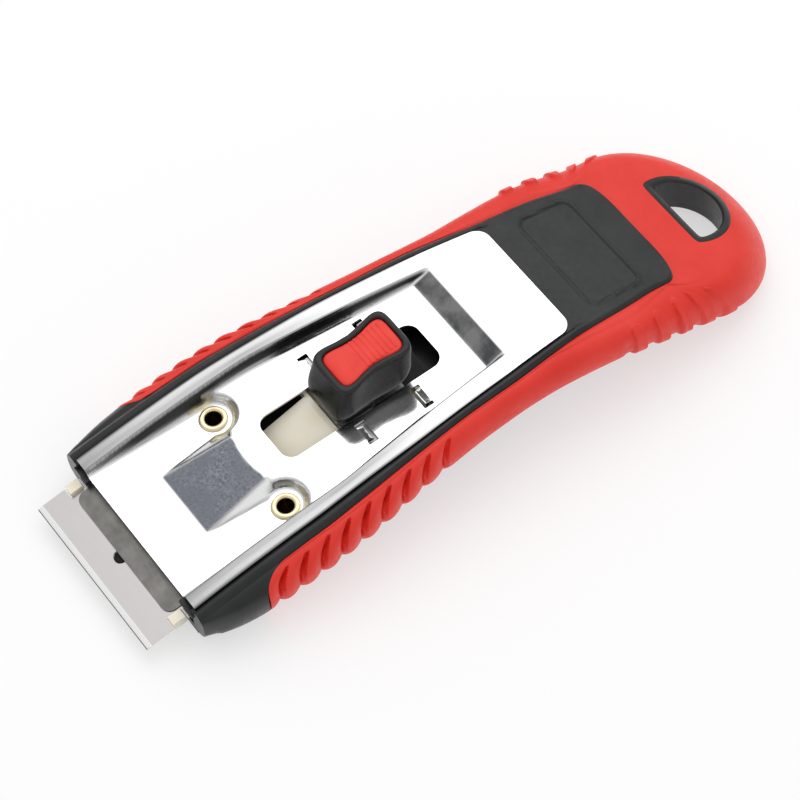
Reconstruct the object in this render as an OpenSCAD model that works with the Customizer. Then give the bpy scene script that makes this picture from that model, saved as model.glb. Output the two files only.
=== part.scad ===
// Ceramic hob scraper: a 40 mm blade on a sliding carrier under a pressed steel cover,
// set in a hard core with a soft grip moulded round it.
// Built in the frame of the slide (Y back along the handle, the cutting edge at the origin),
// then laid down on the table by rest_tilt.

/* [Blade] */
// Width of the blade
blade_w = 40; // [38:0.5:41]
// Length of the blade from edge to back
blade_l = 16; // [15:0.5:17]
// Slope of the blade to the slide
blade_tilt = 8; // [7:0.5:9]

/* [Cover] */
// Sheet thickness of the cover
sheet = 0.6; // [0.5:0.05:0.7]
// Length of the slot for the button
slot_l = 39; // [38:0.5:41]
// Half width of the slot
slot_r = 6; // [5.9:0.1:6.2]

/* [Grip] */
// Depth of the finger scallops
scallop = 1.1; // [0.4:0.1:1.2]
// Height of the rear nubs
nub = 1.0; // [0.4:0.1:1.4]
// Finger scallops a side
scallops = 9; // [7:1:9]

/* [Hidden] */
rest_tilt = 6.1;
rest_z = 3.6;
rest_y = -83.82;
// height of the rim arc, front and rear radius, their centres
arc_a = 310;
arc_b = 185;
arc_y = 62;
arc_top = 10.2;
arc_join = 105;
arc_dy = arc_join - arc_y;
arc_dz = sqrt(arc_a * arc_a - arc_dy * arc_dy);
arc_yb = arc_join - arc_b * arc_dy / arc_a;
arc_zb = arc_top - arc_a + arc_dz - arc_b * arc_dz / arc_a;
floor_z = 4.75;
deck_z = 6.95;
ramp_y0 = 23;
ramp_y1 = 39.6;
rise_y0 = 89;
rise_y1 = 93.5;
cup_x = 12.6;
cup_y = 39.05;
slot_y = 44.6;
cover_y0 = 11.3;
cover_y1 = 106;
hole_y = 150.1;
hole_r = 10.2;
hole_flat = 146.3;
lip = 1.4;
red_y = 28;
side_end = 132;
nub_y0 = 116.2;
nub_pitch = 5.95;
tail_y = 142.8;
tail_r = 23.8;
eyelet_x = 12.9;
eyelet_y = 38.9;
seat_t = 0.8;
blade_t = 0.3;
rivet_x = 5.6;
rivet_y = 17.75;

// smooth value at y between the knots of a short outline
function ease(t) = t * t * (3 - 2 * t);
function knot(k, y, i = 0) =
  y <= k[0][0] ? k[0][1] :
  i >= len(k) - 1 ? k[len(k) - 1][1] :
  y <= k[i + 1][0]
    ? k[i][1] + (k[i + 1][1] - k[i][1]) * (y - k[i][0]) / (k[i + 1][0] - k[i][0])
    : knot(k, y, i + 1);
function smooth_knot(k, y, d = 3) =
  (knot(k, y - d) + 2 * knot(k, y - d / 2) + 2 * knot(k, y) + 2 * knot(k, y + d / 2) + knot(k, y + d)) / 8;

// rim height, body thickness and half widths along the handle
function rim_z(y) =
  y < arc_join
    ? arc_top - arc_a + sqrt(arc_a * arc_a - (y - arc_y) * (y - arc_y))
    : arc_zb + sqrt(arc_b * arc_b - (y - arc_yb) * (y - arc_yb));
thick_k = [[10, 8.4], [15, 11.4], [20, 13.4], [26, 14.2], [40, 14.3], [62, 13.0], [84, 12.0], [104, 12.2],
  [132, 12.9], [150, 12.3], [166, 11.2]];
function thick(y) = smooth_knot(thick_k, y);
cover_k = [[11, 21.5], [42, 21.2], [55, 20.5], [67, 19.8], [78, 18.8], [90, 17.6], [106, 15.8]];
function cover_w(y) = smooth_knot(cover_k, y);
crease_k = [[11, 17.9], [50, 17.8], [60, 16.8], [90, 13.6], [106, 12.0]];
function crease_w(y) = smooth_knot(crease_k, y);
rim_k = [[10, 24.2], [43, 23.8], [55, 22.8], [67, 21.6], [79, 20.4], [92, 19.6], [108, 17.6],
  [122, 16.9], [130, 15.9]];
function rim_w(y) = smooth_knot(rim_k, y);
body_k = [[8, 23.4], [11, 25.2], [15, 26.6], [20, 27.5], [30, 28.3], [42, 28.3], [52, 27.8], [60, 26.6],
  [68, 25.3], [80, 23.9], [92, 23.0], [100, 22.8], [110, 23.2], [124, 23.9], [143, 23.9]];
function body_w(y) = smooth_knot(body_k, y);

// the lowest a point may lie, which is the table in this frame
function table_z(y) = -rest_z / cos(rest_tilt) - y * tan(rest_tilt);
function seated(p) = [p[0], p[1], max(p[2], table_z(p[1]))];

module laid_down() {
  translate([0, rest_y, rest_z])
    rotate([rest_tilt, 0, 0])
      children();
}

// closed skin over rings of equal length, each ring a loop of points, with fanned ends
function middle(r) = [for (k = [0 : 2]) [for (p = r) p[k]] * [for (p = r) 1] / len(r)];
module skin(rings) {
  n = len(rings[0]);
  m = len(rings);
  pts = concat([for (r = rings) each r], [middle(rings[0]), middle(rings[m - 1])]);
  sides = [for (i = [0 : m - 2]) for (j = [0 : n - 1]) each [
    [i * n + (j + 1) % n, i * n + j, (i + 1) * n + (j + 1) % n],
    [(i + 1) * n + (j + 1) % n, i * n + j, (i + 1) * n + j]]];
  first = [for (j = [0 : n - 1]) [m * n, j, (j + 1) % n]];
  last = [for (j = [0 : n - 1]) [m * n + 1, (m - 1) * n + (j + 1) % n, (m - 1) * n + j]];
  polyhedron(points = pts, faces = concat(first, sides, last), convexity = 8);
}

module disc_prism(x, y, r, z0, z1) {
  translate([x, y, z0])
    cylinder(r = r, h = z1 - z0, $fn = 64);
}

module round_slab(w, y0, y1, r, z0, z1) {
  translate([0, 0, z0])
    linear_extrude(height = z1 - z0)
      round_outline(w, y0, y1, r);
}

module round_outline(w, y0, y1, r) {
  translate([-w + r, y0])
    square([2 * w - 2 * r, y1 - y0]);
  translate([-w, y0 + r])
    square([2 * w, y1 - y0 - 2 * r]);
  for (x = [-w + r, w - r], y = [y0 + r, y1 - r])
    translate([x, y])
      circle(r = r, $fn = 48);
}

module hole_outline(d) {
  r = hole_r - d;
  intersection() {
    translate([0, hole_y])
      circle(r = r, $fn = 96);
    translate([-r, hole_flat + d])
      square([2 * r, 2 * r]);
  }
}

// stations of the grip from the left front, round the tail, to the right front
function shear_at(y) = -0.9 * (1 - ease(min(1, max(0, (y - 74) / 20))));
pitch = 47.4 / scallops;
groove_y = red_y + 0.74 * pitch;
side_y = concat(
  [red_y + 0.05],
  [for (k = [0 : scallops - 1], t = [-0.16, 0, 0.16, 0.5]) groove_y + pitch * (k + t)],
  [for (y = [81 : 6 : 111]) y],
  [for (k = [0 : 2], t = [-0.34, -0.2, 0.2, 0.34]) nub_y0 + nub_pitch * (k + 0.5 + t)]);
function wave(y) =
  y < groove_y + (scallops - 0.5) * pitch
    ? -scallop * (1 - ease(min(1, 1.9 * abs(sin(180 * (y - groove_y) / pitch)))))
    : y > nub_y0 && y < nub_y0 + 5 * nub_pitch
      ? nub * (abs(((y - nub_y0) / nub_pitch) % 1 - 0.5) < 0.25 ? 1 : 0)
      : 0;

// running lengths round the tail, from the side's end to the middle
side_run = tail_y - side_end;
tail_run = side_run + tail_r * PI / 2;
tail_l = concat(
  [0],
  [for (k = [2 : 4], t = [-0.34, -0.2, 0.2, 0.34])
    let (l = nub_y0 + nub_pitch * (k + 0.5 + t) - side_end)
    if (l > 0.1) l],
  [for (k = [1 : 9]) 13.4 + (tail_run - 13.4) * k / 9]);
tail_n = len(tail_l) - 1;

// one ring of the grip: inner point, outer point, way out, depth of the rounding
function grip_ring(pi, po, y_st, s) =
  let (
    d = po - pi,
    l = norm(d),
    n = d / l,
    flat = l - min(3.9, l - 0.45),
    rise = 4.6,
    w = wave(y_st),
    pb = pi - n * 2.6,
    place = function(q, drop, down, extra)
      let (y = q[1] + s * min(6, down), x = q[0] + n[0] * extra, yy = y + n[1] * extra)
      seated([x, yy, rim_z(yy) - drop]))
  concat(
    [for (v = [0, 0.33, 0.67]) place(pi + n * flat * v, 1.0 - 0.25 * sin(180 * v), 0, 0)],
    [for (a = [72, 46, 22, 0])
      place(pi + n * (flat + (l - flat) * cos(a)), 1.0 + rise * (1 - sin(a)), rise * (1 - sin(a)),
        w * min(1, 1.3 * cos(a)))],
    [for (a = [24, 48, 70])
      let (t = thick(po[1]), deep = t - 1 - rise - 0.5)
      place(po - n * 6.4 * (1 - cos(a)), 1 + rise + deep * sin(a), rise + deep * sin(a), w * cos(a))],
    [for (v = [0.55, 0])
      place(pb + (po - n * 6.4 - pb) * v, thick(po[1]) - 0.45 * v, 6, 0)]);

function mirrored(r) = [for (p = r) [-p[0], p[1], p[2]]];
function side_ring(y) =
  let (s = shear_at(y))
  grip_ring([rim_w(y), y], [body_w(y + s * 4), y], y, s);
pad_in = [for (l = tail_l) let (a = 90 * pow(l / tail_run, 1.5))
  [15.9 * pow(max(0, cos(a)), 0.42), side_end + 4.9 * pow(sin(a), 0.55)]];
function tail_point(i) =
  let (l = tail_l[i], b = max(0, l - side_run) / tail_r * 180 / PI)
  [tail_r * cos(b), side_end + min(l, side_run) + tail_r * sin(b)];
function tail_ring(i) = grip_ring(pad_in[i], tail_point(i), side_end + tail_l[i], 0);
right_rings = concat([for (y = side_y) if (y < side_end - 0.2) side_ring(y)],
  [for (i = [0 : tail_n]) tail_ring(i)]);
grip_rings = concat(right_rings, [for (i = [len(right_rings) - 2 : -1 : 0]) mirrored(right_rings[i])]);

// the inner tongue that ties the hanging eye to the core
module eye_tongue() {
  translate([0, 141.5, rim_z(141.5) - 6.3])
    rotate([-21, 0, 0])
      cube([13, 16, 4], center = true);
}

module grip_overmould() {
  color("firebrick")
    laid_down()
      difference() {
        skin(grip_rings);
        translate([0, 0, -30])
          linear_extrude(height = 40)
            hole_outline(0);
        eye_tongue();
      }
}

// points down the seam between core and grip, a hair inside the grip's own wall
function wall(a, b) = [for (v = [0.12, 0.3, 0.5, 0.7, 0.88]) a + (b - a) * v - [0.04 + 0.08 * v, 0, 0]];

// half section of the core, centre to centre, red_side is 1 where the grip covers it
function core_ring(y, red) =
  let (
    t = thick(y),
    z = rim_z(y),
    s = shear_at(y),
    wr = rim_w(y),
    wb = y < red_y + 1 ? body_w(y) : wr,
    rise = y < 14 ? 3.6 : 4.6,
    turn = min(6.4, (wb - wr + 2.0) / 0.6),
    top = y > cover_y1 ? 0.35 : sheet + 0.03,
    wc = y > cover_y1 ? rim_w(y) - 2.4 : cover_w(y) + 0.15,
    foot = [wr - 2.6, y + s * 6 * (red ? 1 : y > 20 ? (y - 20) / 8 : 0), rim_z(y + s * 6) - t],
    out = red
      ? wall([wr, y, z - 1], foot)
      : [for (a = [62, 30, 0, -34, -66])
          let (
            dep = a > 0 ? 1 + rise * (1 - sin(a)) : 1 + rise - (t - 1 - rise - 0.4) * sin(a),
            xx = a > 0 ? wr + (wb - wr) * cos(a) : wb - turn * (1 - cos(a)))
          [xx, y + s * min(6, dep - 1) * (y > 20 ? (y - 20) / 8 : 0), z - dep]],
    half = concat([[wc, y, z - top], [wc + 0.02, y, z - (y > cover_y1 ? 0.3 : 0.1)], [wr - 0.03, y, z - 1]],
      out, [foot - [0.12, 0, 0]]),
    rev = [for (i = [len(half) - 1 : -1 : 0]) mirrored(half)[i]])
  [for (p = concat(half, rev)) seated(p)];

core_y0 = [10.7, 11.8, 13.5, 16, 19, 22, 25, red_y - 0.05];
core_y1 = concat([red_y, red_y + 0.6], [for (y = [34 : 6 : 100]) y], [cover_y1, cover_y1 + 0.1],
  [for (y = [112 : 6 : 130]) y]);

// the core's rear end, ring by ring against the inside of the grip
function end_ring(i) =
  let (
    p = pad_in[i],
    d = tail_point(i) - p,
    n = d / norm(d),
    z = rim_z(p[1]),
    q = p - 2.6 * n,
    low = [q[0], q[1], rim_z(q[1]) - thick(tail_point(i)[1])],
    k = p[0] / 15.9,
    half = concat([[13.5 * k, p[1], z - 0.35], [13.52 * k, p[1], z - 0.3]],
      [for (v = [0, 0.12, 0.3, 0.5, 0.7, 0.88, 1])
        [p[0], p[1], z - 1] * (1 - v) + low * v - (0.03 + 0.1 * v) * [n[0], n[1], 0]]),
    rev = [for (k = [len(half) - 1 : -1 : 0]) mirrored(half)[k]])
  [for (q = concat(half, rev)) seated(q)];

module handle_core() {
  color([0.13, 0.13, 0.14])
    laid_down()
      difference() {
        union() {
          skin(concat(
            [for (y = core_y0) core_ring(y, false)],
            [for (y = core_y1) core_ring(y, true)],
            [for (i = [0 : tail_n - 1]) end_ring(i)]));
          eye_tongue();
          eye_lining();
          label_frame();
          corner_fill();
        }
        core_pockets();
        translate([0, 0, -30])
          linear_extrude(height = 40)
            hole_outline(lip);
      }
}

// tube round the hanging hole, cut to the slope of the tail
module eye_lining() {
  intersection() {
    translate([0, 0, -30])
      linear_extrude(height = 40)
        hole_outline(0);
    translate([0, 153, rim_z(153) - 5.5])
      rotate([-23.4, 0, 0])
        cube([30, 30, 9.6], center = true);
  }
}

// the pad's fill up to the rounded rear corners of the cover
module corner_fill() {
  intersection() {
    linear_extrude(height = 12)
      difference() {
        translate([-16.3, 96])
          square([32.6, 10.3]);
        offset(delta = 0.12)
          cover_outline();
      }
    translate([-25, arc_y, arc_top - arc_a])
      rotate([0, 90, 0])
        cylinder(r = arc_a - 0.3, h = 50, $fn = 256);
  }
}

// raised line round the label field
module label_frame() {
  intersection() {
    translate([0, 0, -6])
      linear_extrude(height = 16)
        difference() {
          round_outline(13.6, 115.2, 129.2, 2.6);
          round_outline(12.8, 116, 128.4, 1.9);
        }
    translate([-20, arc_yb, arc_zb])
      rotate([0, 90, 0])
        cylinder(r = arc_b - 0.05, h = 40, $fn = 240);
  }
}

module core_pockets() {
  // mouth for the blade
  translate([-20.7, 5, -0.9])
    cube([41.4, 29.2, 14]);
  // tray under the cover
  translate([0, 0, 4.0])
    linear_extrude(height = 10)
      polygon([for (s = [1, -1]) each [for (i = [0 : 6])
        let (k = s > 0 ? i : 6 - i, y = 33 + k * 10.6)
        [s * (crease_w(y) + 0.55), y]]]);
  // way for the neck of the carrier, between the eyelet bosses
  translate([-9.2, 33, 0.6])
    cube([18.4, 14, 5]);
  // bay for the button's well
  round_slab(14.2, 44.6, 95, 2, 0.4, 5);
  // eyelet bores
  for (x = [-eyelet_x, eyelet_x])
    disc_prism(x, eyelet_y, 2.45, -9, 6);
  for (x = [-eyelet_x, eyelet_x])
    disc_prism(x, eyelet_y, 4.2, -9, -4.2);
}

// right and left bead, a rail with a flat crown and a sloping inner wall
function bead_ring(y, s, d) =
  let (w = cover_w(y), c = crease_w(y), z = rim_z(y), low = y < 41 ? floor_z : deck_z,
    f = c - 0.32 * (z - low) - 0.1)
  [for (p = [[w + d, z - d], [w - 0.5, z + 0.15 - d], [c + d * 0.8, z + 0.24 - d],
      [f + d * 0.9, low - d - 0.02], [f + d * 0.9, -3 - d], [w + d, -3 - d]])
    [s * p[0], y, p[1]]];

module bead_rail(s, d) {
  ys = concat([cover_y0 - 0.8], [for (y = [16 : 6 : 40]) y], [41.02], [for (y = [46 : 6 : 88]) y], [94]);
  rs = [for (y = ys) bead_ring(y, s, d)];
  skin(s < 0 ? rs : [for (r = rs) [for (i = [len(r) - 1 : -1 : 0]) r[i]]]);
}

// plan of the cover, its rear corners rounded
module cover_outline() {
  front = cover_y0 - 8;
  intersection() {
    offset(r = 3.2, $fn = 48)
      offset(delta = -3.2)
        polygon([for (s = [1, -1]) each [for (i = [0 : 10])
          let (k = s > 0 ? i : 10 - i, y = front + (cover_y1 - front) * k / 10)
          [s * cover_w(y), y]]]);
    translate([-25, cover_y0])
      square([50, cover_y1]);
  }
}

// the form that the sheet is pressed over, d is how far below the outer face
module press_form(d) {
  inner = crease_w(20) + 0.8;
  // floor round the eyelets
  translate([0, 0, -3 - d])
    linear_extrude(height = floor_z + 3)
      polygon([[-inner, cover_y0 - 1], [inner, cover_y0 - 1], [inner, 46], [-inner, 46]]);
  // deck and ramp, with the cups cut into them
  difference() {
    union() {
      translate([0, 0, -3 - d])
        linear_extrude(height = deck_z + 3)
          polygon([[-18.4, 39.3], [18.4, 39.3], [18, 54], [14.4, 90],
            [13, 94], [-13, 94], [-14.4, 90], [-18, 54]]);
      ramp_wedge(d);
    }
    for (s = [-1, 1])
      translate([s * cup_x, cup_y, floor_z - d])
        cylinder(r1 = 3.9 + d * 0.8, r2 = 5.0 + d * 0.8, h = deck_z - floor_z + 0.001, $fn = 72);
  }
  bead_rail(1, d);
  bead_rail(-1, d);
  // rear field, level with the beads, and the slope up to it
  intersection() {
    translate([0, 0, -3 - d])
      linear_extrude(height = 20)
        polygon([[-19, rise_y1 - 0.5], [19, rise_y1 - 0.5], [18, cover_y1 + 1], [-18, cover_y1 + 1]]);
    translate([-25, arc_y, arc_top - arc_a])
      rotate([0, 90, 0])
        cylinder(r = arc_a + 0.15 - d, h = 50, $fn = 256);
  }
  translate([-12.07, 0, 0])
    rotate([90, 0, 90])
      linear_extrude(height = 24.14)
        polygon([[rise_y0 - 1, -3 - d], [rise_y0 - 1, deck_z - d - 0.45], [rise_y1, rim_z(rise_y1) + 0.1 - d],
          [rise_y1 + 1, rim_z(rise_y1) - d], [rise_y1 + 1, -3 - d]]);
}

function wedge_ring(y, foot, top, z, d) =
  [for (p = [[-foot, -3 - d], [-foot, floor_z - d - 0.02], [-top, z - d], [top, z - d],
      [foot, floor_z - d - 0.02], [foot, -3 - d]])
    [p[0], y, p[1]]];

module ramp_wedge(d) {
  skin([
    wedge_ring(ramp_y0 - 0.1, 8.2, 8.1, floor_z, d),
    wedge_ring(ramp_y1, 9.5 - d * 0.6, 6.06 - d * 0.6, deck_z, d)]);
}

// bracket-shaped slits beside the slot, s is the side, open way v along the slide
module slit(s, y, v) {
  translate([s * 10.1, y, 4])
    linear_extrude(height = 5) {
      square([5.6, 0.8], center = true);
      for (x = [-2.4, 2.4])
        translate([x, v * 0.85])
          square([0.8, 2.2], center = true);
    }
}

module cover_plate() {
  color([0.86, 0.87, 0.88])
    laid_down()
      difference() {
        intersection() {
          press_form(0);
          translate([0, 0, -4])
            linear_extrude(height = 20)
              cover_outline();
        }
        press_form(sheet);
        round_slab(slot_r, slot_y, slot_y + slot_l, 2.8, 3, 9);
        for (s = [-1, 1])
          slit(s, 61.75, -1);
        for (s = [-1, 1])
          slit(s, 73.9, 1);
        for (x = [-eyelet_x, eyelet_x])
          disc_prism(x, eyelet_y, 2.45, 2, 6);
      }
}

module eyelet() {
  // flange, barrel and rolled foot, all one revolve
  translate([0, 0, floor_z])
    rotate_extrude($fn = 72)
      polygon([[2.0, 0.5], [2.25, 0.62], [2.75, 0.55], [3.15, 0.25], [3.15, 0], [2.4, 0],
        [2.4, -9.15], [3.6, -9.15], [3.6, -9.45], [2.9, -9.75], [2.0, -9.45]]);
}

module eyelet_left() {
  color("goldenrod")
    laid_down()
      translate([-eyelet_x, eyelet_y, 0])
        eyelet();
}

module eyelet_right() {
  color("goldenrod")
    laid_down()
      translate([eyelet_x, eyelet_y, 0])
        eyelet();
}

// carrier: one bent strip, drawn as its side outline cut to its plan outline
function seat_z(y) = y * tan(blade_tilt) - blade_t / 2 / cos(blade_tilt);
module carrier_side() {
  rotate([90, 0, 90])
    translate([0, 0, -25])
      linear_extrude(height = 50)
        polygon([[4.8, seat_z(4.8)], [17.4, seat_z(17.4)], [20, 2.5], [45.4, 2.5], [56.2, 5.3],
          [57.35, 5.3], [57.35, 3.4], [75.4, 3.4], [75.4, 4.8], [76.2, 4.8], [76.2, 2.6],
          [56.55, 2.6], [56.55, 4.5], [56.3, 4.5], [45.6, 1.7],
          [20.1, 1.7], [17.5, seat_z(17.4) - seat_t], [4.8, seat_z(4.8) - seat_t]]);
}

module blade_carrier() {
  color([0.88, 0.84, 0.70])
    laid_down() {
      difference() {
        intersection() {
          carrier_side();
          translate([0, 0, -5])
            linear_extrude(height = 15) {
              round_outline(17, 4.8, 18.4, 2);
              translate([-19.85, 6.95])
                square([39.7, 2.9]);
              translate([-8.2, 16])
                square([16.4, 27]);
              translate([-5.5, 40])
                square([11, 17.35]);
              round_outline(12.9, 56.55, 76.2, 0.8);
            }
        }
        rotate([blade_tilt, 0, 0])
          for (x = [-rivet_x, rivet_x])
            disc_prism(x, rivet_y, 1.0, -2, 1);
      }
      // hooks that stand in the notches of the blade
      for (x = [-18.75, 18.75])
        translate([x, 8.4, 8.4 * tan(blade_tilt)])
          rotate([blade_tilt, 0, 0])
            translate([0, 0, 0.3])
              cube([2.2, 2.9, 1.9], center = true);
    }
}

module blade() {
  color("silver")
    laid_down()
      rotate([blade_tilt, 0, 0])
        difference() {
          rotate([90, 0, 90])
            translate([0, 0, -blade_w / 2])
              linear_extrude(height = blade_w)
                polygon([[0, -0.15], [0, -0.11], [1.3, 0.15], [blade_l, 0.15], [blade_l, -0.15]]);
          for (s = [-1, 1])
            translate([s * blade_w / 2, 8.45, 0])
              cube([5.1, 3.5, 2], center = true);
          disc_prism(0, 7.3, 1.6, -1, 1);
        }
}

// spring leaf on top of the blade, riveted through the carrier
module clamp_leaf() {
  color([0.5, 0.49, 0.47])
    laid_down()
      rotate([blade_tilt, 0, 0])
        difference() {
          union() {
            round_slab(16.9, 7.3, 16.8, 2.2, 0.17, 0.47);
            round_slab(8.2, 12, 19.6, 1.2, 0.17, 0.47);
          }
          for (x = [-rivet_x, rivet_x])
            disc_prism(x, rivet_y, 1.0, -1, 1);
        }
}

module leaf_rivet(x) {
  color("gray")
    laid_down()
      rotate([blade_tilt, 0, 0])
        translate([x, rivet_y, 0])
          rotate_extrude($fn = 48)
            polygon([[0, -1.5], [1.5, -1.5], [1.5, -1.08], [0.98, -1.08], [0.98, -0.12], [1.6, -0.12],
              [1.6, 0.15], [0.98, 0.15], [0.98, 0.49], [1.7, 0.49], [1.3, 0.95], [0, 0.95]]);
}

module leaf_rivet_left() leaf_rivet(-rivet_x);
module leaf_rivet_right() leaf_rivet(rivet_x);

// waisted outline of the button, g grows it, y0 to y1 its length
knob_n = 44;
function knob_loop(w, y0, y1, waist) =
  [for (i = [0 : knob_n - 1])
    let (
      a = 360 * i / knob_n,
      c = cos(a),
      s = sin(a),
      px = sign(c) * pow(abs(c), 0.42),
      py = sign(s) * pow(abs(s), 0.42),
      neck = 1 - waist * pow(cos(90 * py), 2))
    [w * px * neck, (y0 + y1) / 2 + (y1 - y0) / 2 * py]];
function lip_z(y) = 17.2 + (y - 59.5) * 0.1;
function level(loop, z) = [for (p = loop) [p[0], p[1], z]];
function sloped(loop, drop) = [for (p = loop) [p[0], p[1], lip_z(p[1]) - drop]];

module slide_knob() {
  color([0.12, 0.12, 0.13])
    laid_down() {
      difference() {
        skin([
          level(knob_loop(5.9, 57.2, 72.4, 0.06), 8.25),
          level(knob_loop(6.6, 57.0, 75.0, 0.10), 9.4),
          level(knob_loop(6.7, 57.6, 76.6, 0.16), 12.2),
          sloped(knob_loop(6.5, 58.9, 77.0, 0.2), 1.3),
          sloped(knob_loop(6.2, 59.3, 76.7, 0.2), 0.35),
          sloped(knob_loop(5.8, 59.7, 76.3, 0.2), 0)]);
        skin([
          sloped(knob_loop(4.9, 60.6, 75.7, 0.24), 1.6),
          sloped(knob_loop(4.9, 60.6, 75.7, 0.24), -1)]);
      }
      round_slab(5.55, 57.8, 67.5, 2.4, 6.05, 8.6);
      round_slab(4.3, 58.4, 66.4, 0.8, 4.95, 6.2);
    }
}

module knob_insert() {
  color("red")
    laid_down() {
      skin([
        sloped(knob_loop(4.87, 60.63, 75.67, 0.24), 1.6),
        sloped(knob_loop(4.87, 60.63, 75.67, 0.24), 0.5),
        sloped(knob_loop(4.3, 61.2, 75.1, 0.24), 0.2)]);
      for (k = [0 : 5])
        let (y = 67.6 + k * 1.25)
        translate([0, y, lip_z(y) - 0.25])
          rotate([0, 90, 0])
            cylinder(r = 0.32, h = 6.4, center = true, $fn = 24);
    }
}

module latch_plate() {
  color("darkgray")
    laid_down()
      difference() {
        round_slab(12.4, 58.0, 73.6, 1, 5.55, 6.05);
        round_slab(4.3, 58.4, 66.4, 0.8, 5, 7);
      }
}

// bow spring between the well of the carrier and the foot of the button
module press_spring() {
  color("lightgray")
    laid_down()
      translate([-3, 0, 0])
        rotate([90, 0, 90])
          linear_extrude(height = 6)
            polygon(concat(
              [for (i = [0 : 12]) let (t = i / 12) [57.9 + 9 * t, 3.43 + 1.44 * sin(180 * t)]],
              [for (i = [12 : -1 : 0]) let (t = i / 12) [57.9 + 9 * t, 3.41 + 1.19 * sin(180 * t)]]));
}

handle_core();
grip_overmould();
cover_plate();
eyelet_left();
eyelet_right();
blade_carrier();
blade();
clamp_leaf();
leaf_rivet_left();
leaf_rivet_right();
slide_knob();
knob_insert();
latch_plate();
press_spring();
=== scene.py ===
import bpy
import bmesh
import math
import numpy as np
from mathutils import Matrix, Vector, geometry


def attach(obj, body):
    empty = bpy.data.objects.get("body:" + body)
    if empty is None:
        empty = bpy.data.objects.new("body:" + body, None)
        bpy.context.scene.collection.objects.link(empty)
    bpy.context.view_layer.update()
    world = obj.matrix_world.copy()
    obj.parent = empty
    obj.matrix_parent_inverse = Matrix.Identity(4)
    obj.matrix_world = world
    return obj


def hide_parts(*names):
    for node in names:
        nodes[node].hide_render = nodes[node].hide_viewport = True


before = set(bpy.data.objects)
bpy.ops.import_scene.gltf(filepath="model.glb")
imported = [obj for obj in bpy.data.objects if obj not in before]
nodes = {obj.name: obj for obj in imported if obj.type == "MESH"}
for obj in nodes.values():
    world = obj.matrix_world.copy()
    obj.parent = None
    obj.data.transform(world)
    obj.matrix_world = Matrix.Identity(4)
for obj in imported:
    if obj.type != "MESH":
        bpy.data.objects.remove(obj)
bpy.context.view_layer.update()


scene = bpy.context.scene

# The scraper's own measures, in millimetres in the frame of the slide:
# Y back along the handle, the cutting edge at the origin.
# How the slide lies on the table
REST_TILT = math.radians(6.1)
REST_Y = -83.82
REST_Z = 3.6
# The rim line: radii of its front and rear arc, middle and top of the front one, where they join
ARC_A, ARC_B, ARC_Y, ARC_TOP, ARC_JOIN = 310.0, 185.0, 62.0, 10.2, 105.0
ARC_DY = ARC_JOIN - ARC_Y
ARC_DZ = math.sqrt(ARC_A**2 - ARC_DY**2)
ARC_YB = ARC_JOIN - ARC_B * ARC_DY / ARC_A
ARC_ZB = ARC_TOP - ARC_A + ARC_DZ - ARC_B * ARC_DZ / ARC_A
# The pressed cover: sheet, front field and deck, ends, ramps, cups, eyelets, slot, slits, beads
SHEET = 0.6
FLOOR_Z, DECK_Z, DECK_Y = 4.75, 6.95, 39.3
COVER_Y = (11.3, 108.8)
RAMP_Y = (22.9, 39.6)
RISE_Y = (89.0, 93.5)
CUP, CUP_R = (12.6, 39.05), 3.9
EYELET, EYELET_R = (12.9, 38.9), 2.45
SLOT_Y, SLOT_L, SLOT_R, SLOT_ROUND = 44.6, 39.0, 6.0, 2.8
SLIT_X, SLITS = 10.1, ((61.75, -1), (73.9, 1))
CROWN, WALL_SLOPE = 0.24, 3.1
# The hanging hole: middle, radius, flat front and width of its lining
HOLE_Y, HOLE_R, HOLE_FLAT, LIP = 150.1, 10.2, 146.3, 1.8
# The red grip: its start, the end of its sides, the scallops, the nubs and the round tail
RED_Y, SIDE_END = 28.0, 132.0
GROOVES, PITCH = 9, 47.4 / 9
GROOVE_Y = RED_Y + 0.74 * PITCH
LOBE = 1.4
NUBS, NUB_Y, NUB_PITCH = 5, 117.4, 5.95
TAIL_Y, TAIL_R = 142.8, 23.77
# The seam's depth and lean, the shoulder's width and fall at the side and at the tail,
# how far the side turns in below, and how far out the middle of a scallop lies
SEAM_DROP, SEAM_LEAN = 1.0, 2.6
SHOULDER, SHOULDER_FALL = (3.9, 8.7), (4.6, 7.2)
TUCK, MID_OUT = 6.4, 4.2
# The pad behind the cover: half width, the edge beside its field, its depth under the rim line
PAD_HALF, PAD_EDGE, PAD_DROP = 15.9, 2.05, 0.35
PAD_FIELD = PAD_HALF - PAD_EDGE
# The blade: half width, length, half thickness, slope, bevel painted near white as a highlight, edge painted
# near black as a dark reflection, hole's place and radius
BLADE_HALF, BLADE_LONG, BLADE_T, BLADE_TILT = 20.0, 16.0, 0.15, math.radians(8)
BEVEL, EDGE, BLADE_HOLE = 1.3, 0.16, (7.3, 1.6)

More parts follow.
